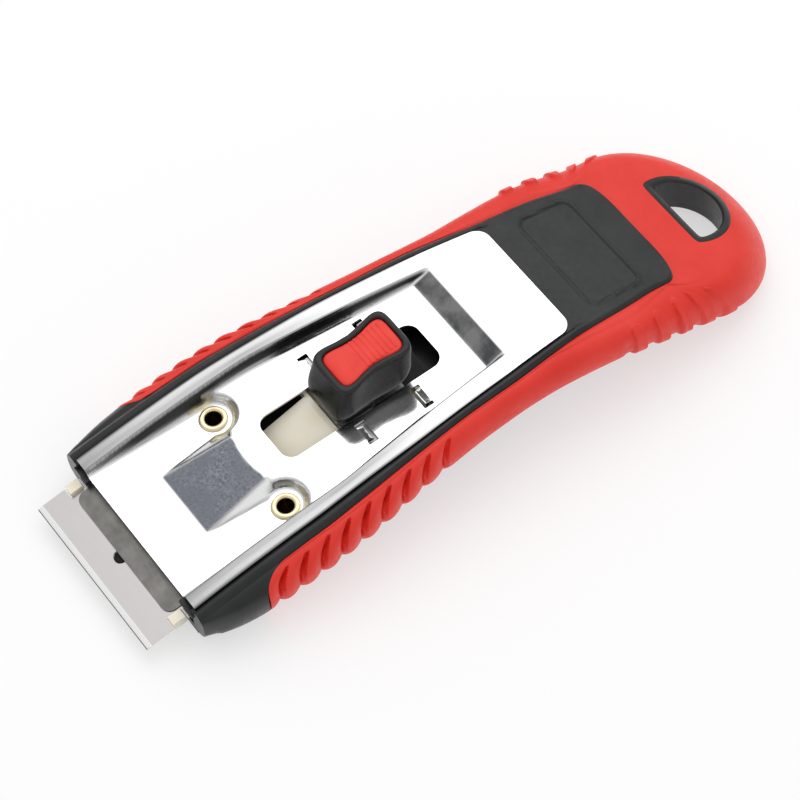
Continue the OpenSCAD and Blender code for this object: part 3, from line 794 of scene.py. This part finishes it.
def ramp_end(x):
    """Where the front ramp meets the deck, further back towards its sides."""
    return 38.35 + 0.028 * np.minimum(x, 5.0) ** 2


def ramp_widths(y):
    """Half widths of the front ramp at y: of its top and of its foot."""
    t = np.clip((y - RAMP_Y[0]) / (RAMP_Y[1] - RAMP_Y[0]), 0, 1)
    return 8.15 + (6.06 - 8.15) * t, 8.3 + (9.6 - 8.3) * t


def pressed_height(x, y):
    """Outer face of the cover before its bends are softened."""
    x = np.abs(x)
    w, c, z = along(COVER, y), along(CREASE, y), rim_z(y)
    deck = np.where(y > DECK_Y, DECK_Z, FLOOR_Z)
    climb = np.clip((y - RAMP_Y[0]) / (ramp_end(x) - RAMP_Y[0]), 0, 1)
    ramp_top = FLOOR_Z + (DECK_Z - FLOOR_Z) * climb
    half_top, half_foot = ramp_widths(y)
    side = np.clip((half_foot - x) / np.maximum(half_foot - half_top, 0.1), 0, 1)
    wedge = FLOOR_Z + (ramp_top - FLOOR_Z) * side
    low = np.maximum(deck, np.where(y > RAMP_Y[0], np.where(y < 39.5, wedge, FLOOR_Z), FLOOR_Z))
    low = np.maximum(FLOOR_Z, np.minimum(low, cup_wall(x, y)))
    climb = (y - RISE_Y[0] + 1) / (RISE_Y[1] - RISE_Y[0] + 1)
    rear = (DECK_Z - 0.45) + (rim_z(RISE_Y[1]) + 0.1 - DECK_Z + 0.45) * climb
    field = np.where(y > RISE_Y[1], z + 0.12, np.where(y > RISE_Y[0] - 1, rear, 0))
    low = np.maximum(low, field)
    wall = z + CROWN - (c - x) * WALL_SLOPE
    crown = z + np.interp((w - x) / np.maximum(w - c, 0.1), [0, 0.12, 1.0], [0.02, 0.15, CROWN])
    bead = np.where(x > c, crown, np.maximum(wall, low))
    return np.maximum(bead, low)


def height_grid(pitch=0.14, radius=0.26):
    """Heights on a fine grid, softened by a small radius as pressing does."""
    xs = np.arange(0, 23.0, pitch)
    ys = np.arange(COVER_Y[0] - 1.5, COVER_Y[1] + 1.5, pitch)
    gx, gy = np.meshgrid(xs, ys)
    h = pressed_height(gx, gy)
    reach = int(3 * radius / pitch)
    k = np.exp(-0.5 * (np.arange(-reach, reach + 1) * pitch / radius) ** 2)
    k /= k.sum()
    wide = np.concatenate([h[:, reach:0:-1], h, np.repeat(h[:, -1:], reach, 1)], 1)
    wide = np.concatenate([np.repeat(wide[:1], reach, 0), wide, np.repeat(wide[-1:], reach, 0)], 0)
    soft = sum(k[i] * wide[i:i + h.shape[0]] for i in range(len(k)))
    soft = sum(k[i] * soft[:, i:i + h.shape[1]] for i in range(len(k)))
    return xs, ys, soft


GRID = height_grid()


def cover_height(x, y):
    """Softened height, read between the grid's points, with the four tongues bent down."""
    xs, ys, h = GRID
    ax = np.abs(np.asarray(x, float))
    y = np.asarray(y, float)
    fx = np.clip((ax - xs[0]) / (xs[1] - xs[0]), 0, len(xs) - 1.001)
    fy = np.clip((y - ys[0]) / (ys[1] - ys[0]), 0, len(ys) - 1.001)
    ix, iy = fx.astype(int), fy.astype(int)
    tx, ty = fx - ix, fy - iy
    front = h[iy, ix] * (1 - tx) + h[iy, ix + 1] * tx
    back = h[iy + 1, ix] * (1 - tx) + h[iy + 1, ix + 1] * tx
    z = front * (1 - ty) + back * ty
    for yc, v in SLITS:
        inside = (np.abs(ax - SLIT_X) < 2.0) & ((y - yc) * v > 0.3) & ((y - yc) * v < 2.1)
        z = z - np.where(inside, 0.42 * (1 - step(0.3, 2.0, (y - yc) * v)), 0)
    return z


def slit_outline(x, y, v):
    """Bracket-shaped slit beside the slot, its arms reaching towards v."""
    s, a = 2.8, 2.0
    y0, y1, y2 = y - 0.4 * v, y + 0.4 * v, y + 1.95 * v
    loop = [(-s, y0), (s, y0), (s, y2), (a, y2), (a, y1), (-a, y1), (-a, y2), (-s, y2)]
    return [(x + px, py) for px, py in loop]


def in_loop(px, py, loop):
    """Which points lie inside a plan loop."""
    inside = np.zeros(len(px), bool)
    for (x0, y0), (x1, y1) in zip(loop, loop[1:] + loop[:1]):
        if y0 == y1:
            continue
        cross = ((y0 > py) != (y1 > py)) & (px < (x1 - x0) * (py - y0) / (y1 - y0) + x0)
        inside ^= cross
    return inside


def even(loop, pitch):
    """The loop with extra points so that none of its sides is longer than pitch."""
    out = []
    for (x0, y0), (x1, y1) in zip(loop, loop[1:] + loop[:1]):
        k = max(1, int(math.ceil(math.hypot(x1 - x0, y1 - y0) / pitch)))
        out += [(x0 + (x1 - x0) * i / k, y0 + (y1 - y0) * i / k) for i in range(k)]
    return out


def cover_loops():
    """Outer edge of the cover, and the edges of its slot, slits and eyelet holes."""
    outer = even(cover_plan(), 0.5)
    holes = [even(rounded(SLOT_R, SLOT_Y, SLOT_Y + SLOT_L, SLOT_ROUND, 12), 0.5)]
    for y, v in SLITS:
        holes += [even(slit_outline(s * SLIT_X, y, v), 0.4) for s in (-1, 1)]
    holes += [circle(s * EYELET[0], EYELET[1], EYELET_R, 40) for s in (-1, 1)]
    return outer, holes


def near_loops(px, py, loops, gap):
    """Points closer than gap to any point of the loops."""
    close = np.zeros(len(px), bool)
    for loop in loops:
        a = np.array(loop)
        for chunk in np.array_split(np.arange(len(px)), 12):
            d = np.hypot(px[chunk, None] - a[None, :, 0], py[chunk, None] - a[None, :, 1]).min(1)
            close[chunk] |= d < gap
    return close


def sheet_mesh():
    """Plan points and triangles of the cover, fine where it bends."""
    outer, holes = cover_loops()
    loops = [outer] + holes
    grid = []
    for y in np.arange(COVER_Y[0] + 0.3, COVER_Y[1] - 0.2, 0.42):
        w, c = float(along(COVER, y)), float(along(CREASE, y))
        inner = c - 2.0
        fine = 0.42 if y < 46 or y > 86 else 0.6
        across = list(np.linspace(-inner, inner, int(2 * inner / fine)))
        rail = [w - 0.25, w - 0.5, w - 0.85, (w + c) / 2 + 0.3, (w + c) / 2 - 0.3, c + 0.5, c + 0.25]
        rail += list(np.linspace(c, c - 1.8, 9))
        across += rail + [-x for x in rail]
        grid += [(x, y) for x in across]
    g = np.array(grid)
    keep = in_loop(g[:, 0], g[:, 1], outer) & ~near_loops(g[:, 0], g[:, 1], loops, 0.2)
    for hole in holes:
        keep &= ~in_loop(g[:, 0], g[:, 1], hole)
    g = g[keep]
    points, edges = [], []
    for loop in loops:
        n = len(points)
        points += loop
        edges += [(n + i, n + (i + 1) % len(loop)) for i in range(len(loop))]
    points += [tuple(p) for p in g]
    made = geometry.delaunay_2d_cdt([Vector(p) for p in points], edges, [], 0, 1e-5, False)
    flat = np.array([tuple(v) for v in made[0]])
    tris = np.array([f for f in made[2] if len(f) == 3])
    mid = flat[tris].mean(1)
    keep = in_loop(mid[:, 0], mid[:, 1], outer)
    for hole in holes:
        keep &= ~in_loop(mid[:, 0], mid[:, 1], hole)
    tris = tris[keep]
    a, b, c = flat[tris[:, 0]], flat[tris[:, 1]], flat[tris[:, 2]]
    area = (b[:, 0] - a[:, 0]) * (c[:, 1] - a[:, 1]) - (b[:, 1] - a[:, 1]) * (c[:, 0] - a[:, 0])
    tris = tris[np.abs(area) > 1e-9]
    area = area[np.abs(area) > 1e-9]
    tris[area < 0] = tris[area < 0][:, ::-1]
    return flat, tris


def cover_normals(flat):
    """Outward normals of the softened form at the plan points."""
    e = 0.12
    dx = (cover_height(flat[:, 0] + e, flat[:, 1]) - cover_height(flat[:, 0] - e, flat[:, 1])) / (2 * e)
    dy = (cover_height(flat[:, 0], flat[:, 1] + e) - cover_height(flat[:, 0], flat[:, 1] - e)) / (2 * e)
    n = np.stack([-dx, -dy, np.ones(len(flat))], 1)
    return n / np.linalg.norm(n, axis=1)[:, None]


def painted_reflection_bands(x, y):
    """Painted dark reflection on the chrome: most on the walls of the two beads, less on their crowns."""
    w, c = along(COVER, y), along(CREASE, y)
    low = np.where(y > DECK_Y, DECK_Z, FLOOR_Z)
    reach = np.maximum((rim_z(y) + CROWN - low) / WALL_SLOPE, 0.2)
    q = (c - x) / reach
    # each band below is a painted dark reflection: bead walls, crowns, a fine line, the outer edge, cup rims,
    # the foot of the ramp's sides
    wall = step(-0.06, 0.06, q) * (1 - step(0.6, 0.95, q)) * (0.75 + 0.22 * step(12, 24, y))
    wall = wall * (1 - step(91.5, 93.5, y))
    crown = np.where(x > c, 0.65 - 0.35 * step(50, 88, y), 0.0) * (1 - 0.2 * step(c + 0.4, w - 0.6, x))
    line = 0.28 * np.exp(-((x - c - 0.36 * (w - c)) / 0.13) ** 2) * (1 - step(70, 88, y)) * (x > c)
    edge = 0.45 * step(w - 0.4, w - 0.12, x) * (1 - step(84, 96, y))
    rho = np.hypot(x - CUP[0], y - CUP[1])
    cup = 0.5 * step(3.7, 4.2, rho) * (1 - step(4.7, 5.3, rho)) * step(36.5, 40, y)
    foot = ramp_widths(y)[1]
    side = 0.5 * np.exp(-((x - foot + 0.15) / 0.3) ** 2) * step(23, 26, y) * (1 - step(37, 39, y))
    return np.clip(np.maximum.reduce([wall, crown + line + edge, cup, side]), 0, 1)


def pressed_cover():
    """The chromed cover: one sheet with an upper and a lower face and closed edges."""
    flat, tris = sheet_mesh()
    used = np.unique(tris)
    back = -np.ones(len(flat), int)
    back[used] = np.arange(len(used))
    flat, tris = flat[used], back[tris]
    n = cover_normals(flat)
    top = np.column_stack([flat, cover_height(flat[:, 0], flat[:, 1])])
    # the underside lies one sheet below, along the face, kept upright near walls
    low = top - np.column_stack([np.zeros((len(flat), 2)), SHEET / np.maximum(n[:, 2], 0.55)])
    m = len(flat)
    sides = {}
    for t in tris:
        for i in range(3):
            sides[(t[i], t[(i + 1) % 3])] = True
    rim = [(a, b) for a, b in sides if (b, a) not in sides]
    faces = [tuple(t) for t in tris] + [tuple(t[::-1] + m) for t in tris]
    faces += [(b, a, a + m, b + m) for a, b in rim]
    points = np.vstack([top, low])
    obj = raw_object("pressed_cover", points, faces)
    mesh = obj.data
    x, y = np.abs(points[:, 0]), points[:, 1]
    end, half = ramp_end(x), ramp_widths(y)[0]
    front = step(22.7, 23.3, y) * (1 - step(end - 0.5, end + 0.1, y))
    front = front * (1 - step(half - 0.45, half + 0.55, x))
    rear = step(88.8, 89.4, y) * (1 - step(93.1, 93.7, y)) * (1 - step(12.3, 12.9, x))
    # the ramps, whose colour is darkened as a painted dark reflection
    marked(mesh, "ramp", np.maximum(front, rear * 0.97))
    marked(mesh, "rear_ramp", rear)
    # where the chrome is darkened as a painted dark reflection
    marked(mesh, "painted_dark_reflection", painted_reflection_bands(x, y))
    mesh.shade_smooth()
    turn = np.array(Matrix.Rotation(REST_TILT, 3, "X"))
    world = n @ turn.T
    splits = []
    for poly in mesh.polygons:
        if len(poly.vertices) == 4:
            splits += [tuple(poly.normal)] * 4
        else:
            for v in poly.vertices:
                splits.append(tuple(world[v]) if v < m else tuple(-world[v - m]))
    mesh.normals_split_custom_set(splits)
    return finish_piece(obj, "handle", CHROME, None, ["cover_plate"])


# Eyelets, blade, leaf
def revolved(name, profile, place, steps=72):
    """A turned piece: profile of (radius, height) pairs, closed, about an upright axis at place."""
    rings = []
    for i in range(steps):
        c, s = math.cos(2 * math.pi * i / steps), math.sin(2 * math.pi * i / steps)
        rings.append([(place[0] + r * c, place[1] + r * s, place[2] + h) for r, h in profile])
    n, m = len(profile), steps
    points = [p for ring in rings for p in ring]
    faces = [(i * n + j, i * n + (j + 1) % n, ((i + 1) % m) * n + (j + 1) % n, ((i + 1) % m) * n + j)
             for i in range(m) for j in range(n)]
    return cleaned(raw_object(name, points, faces))


def eyelets():
    """The two brass eyelets, with painted shade inside their bores."""
    rolled = [(2.4 - 0.66 * math.cos(math.radians(a)), 0.16 + 0.44 * math.sin(math.radians(a)))
              for a in range(0, 181, 10)]
    # the bore is blind, with a closed foot
    profile = [(0.02, -9.45), (0.02, -9.0), (1.98, -8.9), (1.98, -3.0), (1.74, -0.6)] + rolled
    profile += [(3.1, 0.1), (3.12, 0.02), (2.4, 0.02), (2.4, -9.15), (3.5, -9.15),
                (3.6, -9.3), (3.5, -9.45), (2.9, -9.72)]
    for side, name in ((-1, "eyelet_left"), (1, "eyelet_right")):
        obj = revolved("brass_" + name, profile, (side * EYELET[0], EYELET[1], FLOOR_Z))
        at = points_of(obj.data) * 1000
        middle = laid((side * EYELET[0], EYELET[1], FLOOR_Z - 4))[0] * 1000
        top = laid((0, EYELET[1], FLOOR_Z))[0, 2] * 1000
        away = np.hypot(at[:, 0] - middle[0], at[:, 1] - middle[1])
        # where the bore's painted shade goes
        deep = (at[:, 2] < top - 0.35) & (at[:, 2] > top - 9.2) & (away < 2.6)
        marked(obj.data, "bore", deep)
        finish_piece(obj, "handle", BRASS, 50, [name])


def carried_nodes():
    """CAD nodes whose shape is kept and that only get their finish."""
    for name, material in (("blade_carrier", CREAM), ("clamp_leaf", LEAF), ("leaf_rivet_left", STEEL),
                           ("leaf_rivet_right", STEEL), ("latch_plate", STEEL), ("press_spring", STEEL)):
        mesh = nodes[name].data
        mesh.materials.clear()
        mesh.materials.append(material)


def blade_outline():
    """Plan of the blade in its own plane: a notch in each end."""
    w, notch, n0, n1 = BLADE_HALF, 2.55, 6.7, 10.2
    right = [(w, BEVEL), (w, n0), (w - notch, n0), (w - notch, n1), (w, n1), (w, BLADE_LONG)]
    return right + [(-x, y) for x, y in reversed(right)]


def blade_placed(points):
    """From the blade's own plane to the slide frame."""
    c, s = math.cos(BLADE_TILT), math.sin(BLADE_TILT)
    return [(x, y * c - z * s, y * s + z * c) for x, y, z in points]


def razor_blade():
    """The blade's body with end notches and a hole, and the strip with its bevel, painted near white as a
    highlight, and its edge, painted near black as a dark reflection.
    """
    t = BLADE_T
    body, faces = prism(blade_outline(), -t, t)
    blade = cleaned(raw_object("razor_blade", blade_placed(body), faces))
    hole, hole_faces = prism(circle(0, *BLADE_HOLE, 48), -1, 1)
    carve(blade, [(blade_placed(hole), hole_faces)])
    # the ground strip: its section from the cutting edge back to the full thickness
    land = -t + 0.04 + 0.26 * EDGE / BEVEL
    rows = [(0.0, -t), (0.0, -t + 0.04), (EDGE, land), (EDGE + 0.02, land + 0.005),
            (BEVEL - 0.02, t), (BEVEL, t), (BEVEL, -t)]
    points = [(x, y, z) for x in (-BLADE_HALF, BLADE_HALF) for y, z in rows]
    n = len(rows)
    faces = [(i, (i + 1) % n, n + (i + 1) % n, n + i) for i in range(n)]
    faces += [tuple(range(n)), tuple(range(2 * n - 1, n - 1, -1))]
    strip = cleaned(raw_object("cutting_strip", blade_placed(points), faces))
    for piece in (blade, strip):
        at = points_of(piece.data) * 1000
        back = (at[:, 1] - REST_Y) * math.cos(REST_TILT) + (at[:, 2] - REST_Z) * math.sin(REST_TILT)
        # masks for the bevel's painted highlight and the edge's painted dark reflection
        marked(piece.data, "bevel", (back > EDGE) & (back < BEVEL - 0.005) & (piece is strip))
        marked(piece.data, "edge", (back < EDGE + 0.01) & (piece is strip))
    finish_piece(blade, "carriage", BLADE, 30, ["blade"])
    finish_piece(strip, "carriage", BLADE, 30)
    # the locating pin, near black as painted shade in the blade's hole
    pin, pin_faces = prism(circle(0, BLADE_HOLE[0], 1.5, 40), -0.4, -0.08)
    pin = cleaned(raw_object("locating_pin", blade_placed(pin), pin_faces))
    finish_piece(pin, "carriage", SHADE, 30)


# The button
def knob_loop(w, y0, y1, waist, steps=160):
    """Waisted plan outline of the button."""
    out = []
    for i in range(steps):
        a = 2 * math.pi * i / steps
        c, s = math.cos(a), math.sin(a)
        px = math.copysign(abs(c) ** 0.36, c)
        py = math.copysign(abs(s) ** 0.36, s)
        neck = 1 - waist * math.cos(math.pi / 2 * py) ** 2
        out.append((w * px * neck, (y0 + y1) / 2 + (y1 - y0) / 2 * py))
    return out


def lip_z(y):
    """Height of the button's sloping top."""
    return 17.13 + (y - 59.5) * 0.1


def knob_ring(w, y0, y1, waist, z, slope):
    """Ring of the button at the height z, or z below the sloping top."""
    return [(x, y, lip_z(y) - z if slope else z) for x, y in knob_loop(w, y0, y1, waist)]


def black_button():
    """The waisted black button: its side, its rolled rim, the recess for the insert and its foot."""
    side = [(5.9, 57.2, 72.4, 0.06, 8.25), (6.3, 57.05, 73.8, 0.08, 8.7), (6.6, 57.0, 75.0, 0.10, 9.4),
            (6.68, 57.15, 75.9, 0.12, 10.4), (6.72, 57.4, 76.4, 0.15, 11.5), (6.66, 57.8, 76.75, 0.17, 12.8)]
    top = [(6.52, 58.75, 77.0, 0.2, 1.7), (6.48, 58.95, 76.97, 0.2, 0.8), (6.42, 59.08, 76.92, 0.2, 0.4),
           (6.3, 59.22, 76.8, 0.2, 0.14), (6.15, 59.38, 76.65, 0.2, 0.03), (5.98, 59.55, 76.5, 0.2, 0.0),
           (5.35, 60.15, 75.98, 0.22, 0.0), (5.16, 60.34, 75.86, 0.23, 0.05), (5.0, 60.5, 75.76, 0.238, 0.2),
           (4.9, 60.6, 75.7, 0.24, 0.5), (4.9, 60.6, 75.7, 0.24, 1.6)]
    rings = [knob_ring(*r, False) for r in side] + [knob_ring(*r, True) for r in top]
    obj = raw_object("black_button", *loft(rings))
    neck = raw_object("neck", *prism(rounded(5.55, 57.8, 67.5, 2.4), 6.05, 8.6))
    foot = raw_object("foot", *prism(rounded(4.3, 58.4, 66.4, 0.8), 4.95, 6.2))
    for extra in (neck, foot):
        bm = bmesh.new()
        bm.from_mesh(obj.data)
        bm.from_mesh(extra.data)
        bm.to_mesh(obj.data)
        bm.free()
        bpy.data.objects.remove(extra)
    cleaned(obj)
    return finish_piece(obj, "button", BUTTON, 40, ["slide_knob"])


def slide_base():
    """Flat base of the slide behind the button, seen down in the cover's slot, painted near black as painted
    shade.
    """
    obj = cleaned(raw_object("slide_base", *prism(rounded(5.3, 67.9, 79.9, 1.4), 5.2, 5.7)))
    finish_piece(obj, "carriage", SHADE, 30)


def rib_tree(material):
    """Geometry nodes: a row of round ribs along Y."""
    tree = bpy.data.node_groups.new("insert_ribs", "GeometryNodeTree")
    tree.interface.new_socket("Count", in_out="INPUT", socket_type="NodeSocketInt")
    for label in ("Pitch", "Radius", "Length", "Rise"):
        tree.interface.new_socket(label, in_out="INPUT", socket_type="NodeSocketFloat")
    tree.interface.new_socket("Geometry", in_out="OUTPUT", socket_type="NodeSocketGeometry")
    add = tree.nodes.new
    source, sink = add("NodeGroupInput"), add("NodeGroupOutput")
    step_by = add("ShaderNodeCombineXYZ")
    line = add("GeometryNodeMeshLine")
    rib = add("GeometryNodeMeshCylinder")
    turn = add("GeometryNodeTransform")
    lay = add("GeometryNodeInstanceOnPoints")
    real = add("GeometryNodeRealizeInstances")
    paint = add("GeometryNodeSetMaterial")
    turn.inputs["Rotation"].default_value = (0, math.pi / 2, 0)
    rib.inputs["Vertices"].default_value = 20
    paint.inputs["Material"].default_value = material
    join = tree.links.new
    join(source.outputs["Pitch"], step_by.inputs["Y"])
    join(source.outputs["Rise"], step_by.inputs["Z"])
    join(source.outputs["Count"], line.inputs["Count"])
    join(step_by.outputs[0], line.inputs["Offset"])
    join(source.outputs["Radius"], rib.inputs["Radius"])
    join(source.outputs["Length"], rib.inputs["Depth"])
    join(rib.outputs["Mesh"], turn.inputs["Geometry"])
    join(line.outputs[0], lay.inputs["Points"])
    join(turn.outputs["Geometry"], lay.inputs["Instance"])
    join(lay.outputs["Instances"], real.inputs["Geometry"])
    join(real.outputs["Geometry"], paint.inputs["Geometry"])
    join(paint.outputs["Geometry"], sink.inputs["Geometry"])
    return tree


def grown(name, tree, sizes):
    """Runs a geometry node tree with the named sizes and returns a plain mesh object."""
    obj = bpy.data.objects.new(name, bpy.data.meshes.new(name))
    scene.collection.objects.link(obj)
    mod = obj.modifiers.new("grow", "NODES")
    mod.node_group = tree
    for item in tree.interface.items_tree:
        if item.item_type == "SOCKET" and item.in_out == "INPUT" and item.name in sizes:
            mod[item.identifier] = sizes[item.name]
    bpy.context.view_layer.update()
    graph = bpy.context.evaluated_depsgraph_get()
    mesh = bpy.data.meshes.new_from_object(obj.evaluated_get(graph))
    obj.modifiers.clear()
    obj.data = mesh
    return obj


def placed(obj, y, z):
    """Moves a mesh that was made about its own start to its place in the slide frame."""
    co = points_of(obj.data)
    co[:, 1] += y
    co[:, 2] += z
    for v, p in zip(obj.data.vertices, laid(co)):
        v.co = p
    return obj


def red_insert():
    """The crowned red insert of the button and its row of ribs."""
    levels = [(4.86, 60.64, 75.66, 1.55), (4.86, 60.64, 75.66, 0.66), (4.8, 60.7, 75.6, 0.5),
              (4.66, 60.84, 75.46, 0.36), (4.45, 61.05, 75.25, 0.27), (4.1, 61.4, 74.9, 0.21),
              (3.2, 62.3, 74.0, 0.15), (1.6, 64.0, 72.4, 0.10)]
    rings = [knob_ring(w, y0, y1, 0.24, drop, True) for w, y0, y1, drop in levels]
    obj = cleaned(raw_object("red_insert", *loft(rings)))
    finish_piece(obj, "button", INSERT, 45, ["knob_insert"])
    sizes = {"Count": 7, "Pitch": 1.12, "Radius": 0.42, "Length": 7.0, "Rise": 0.112}
    ribs = grown("insert_ribs", rib_tree(INSERT), sizes)
    placed(ribs, 67.3, float(lip_z(67.3)) - 0.45)
    finish_piece(ribs, "button", INSERT, 60)


red_grip()
black_core()
front_shade_lips()
eye_lining()
pressed_cover()
eyelets()
carried_nodes()
razor_blade()
black_button()
slide_base()
red_insert()


# Table, light and camera
def studio_floor():
    """White paper under the scraper, on which its shadow stays faint."""
    mesh = bpy.data.meshes.new("floor")
    half, z = 4.0, -0.00005
    corners_of_floor = [(-half, -half, z), (half, -half, z), (half, half, z), (-half, half, z)]
    mesh.from_pydata(corners_of_floor, [], [(0, 1, 2, 3)])
    obj = bpy.data.objects.new("floor", mesh)
    scene.collection.objects.link(obj)
    paper = Finish("white_paper", (0.93, 0.93, 0.93), roughness=0.9)
    paper.set("Specular IOR Level", 0.1)
    ray = paper.tree.nodes.new("ShaderNodeLightPath")
    mirrored = paper.plus(ray.outputs["Is Glossy Ray"], ray.outputs["Is Transmission Ray"])
    seen = paper.plus(ray.outputs["Is Camera Ray"], mirrored)
    paper.colour(paper.mixed(ray.outputs["Is Camera Ray"], (0.93, 0.93, 0.93), (0.42, 0.42, 0.42)))
    paper.set("Emission Color", (1, 1, 1, 1))
    paper.link(paper.times(seen, 0.58), paper.shader.inputs["Emission Strength"])
    mesh.materials.append(paper.mat)


def studio_light():
    """A pale room and one soft lamp."""
    world = bpy.data.worlds.new("studio")
    scene.world = world
    world.use_nodes = True
    tree = world.node_tree
    sky = tree.nodes["Background"]
    sky.inputs["Color"].default_value = (1, 1, 1, 1)
    # a broad light overhead that grows dimmer towards the walls of the room
    way = tree.nodes.new("ShaderNodeTexCoord")
    part = tree.nodes.new("ShaderNodeSeparateXYZ")
    fall = tree.nodes.new("ShaderNodeMapRange")
    fall.inputs["From Min"].default_value = 0.0
    fall.inputs["From Max"].default_value = 0.75
    fall.inputs["To Min"].default_value = 0.5
    fall.inputs["To Max"].default_value = 0.82
    tree.links.new(way.outputs["Generated"], part.inputs[0])
    tree.links.new(part.outputs["Z"], fall.inputs["Value"])
    tree.links.new(fall.outputs["Result"], sky.inputs["Strength"])
    lamp = bpy.data.lights.new("softbox", "AREA")
    lamp.shape = "RECTANGLE"
    lamp.size, lamp.size_y = 1.1, 0.9
    lamp.energy = 3.3
    box = bpy.data.objects.new("softbox", lamp)
    scene.collection.objects.link(box)
    place = Vector((-0.42, 0.3, 0.85))
    box.location = place
    box.rotation_euler = (Vector((0, 0, 0)) - place).to_track_quat("-Z", "Y").to_euler()


def photo_camera():
    """The camera that was solved from the photograph's own parallel edges."""
    right = Vector((0.5856, 0.8104, 0.0199))
    down = Vector((0.6707, -0.4705, -0.5734))
    forward = Vector((-0.4552, 0.3490, -0.8190))
    lens = bpy.data.cameras.new("photo")
    lens.lens = 144
    lens.sensor_width = 36
    lens.clip_end = 20
    cam = bpy.data.objects.new("photo", lens)
    scene.collection.objects.link(cam)
    turn = Matrix((right, -down, -forward)).transposed()
    cam.matrix_world = Matrix.Translation(Vector((0.3021, -0.2397, 0.547))) @ turn.to_4x4()
    scene.camera = cam


studio_floor()
studio_light()
photo_camera()
scene.view_settings.view_transform = "Standard"
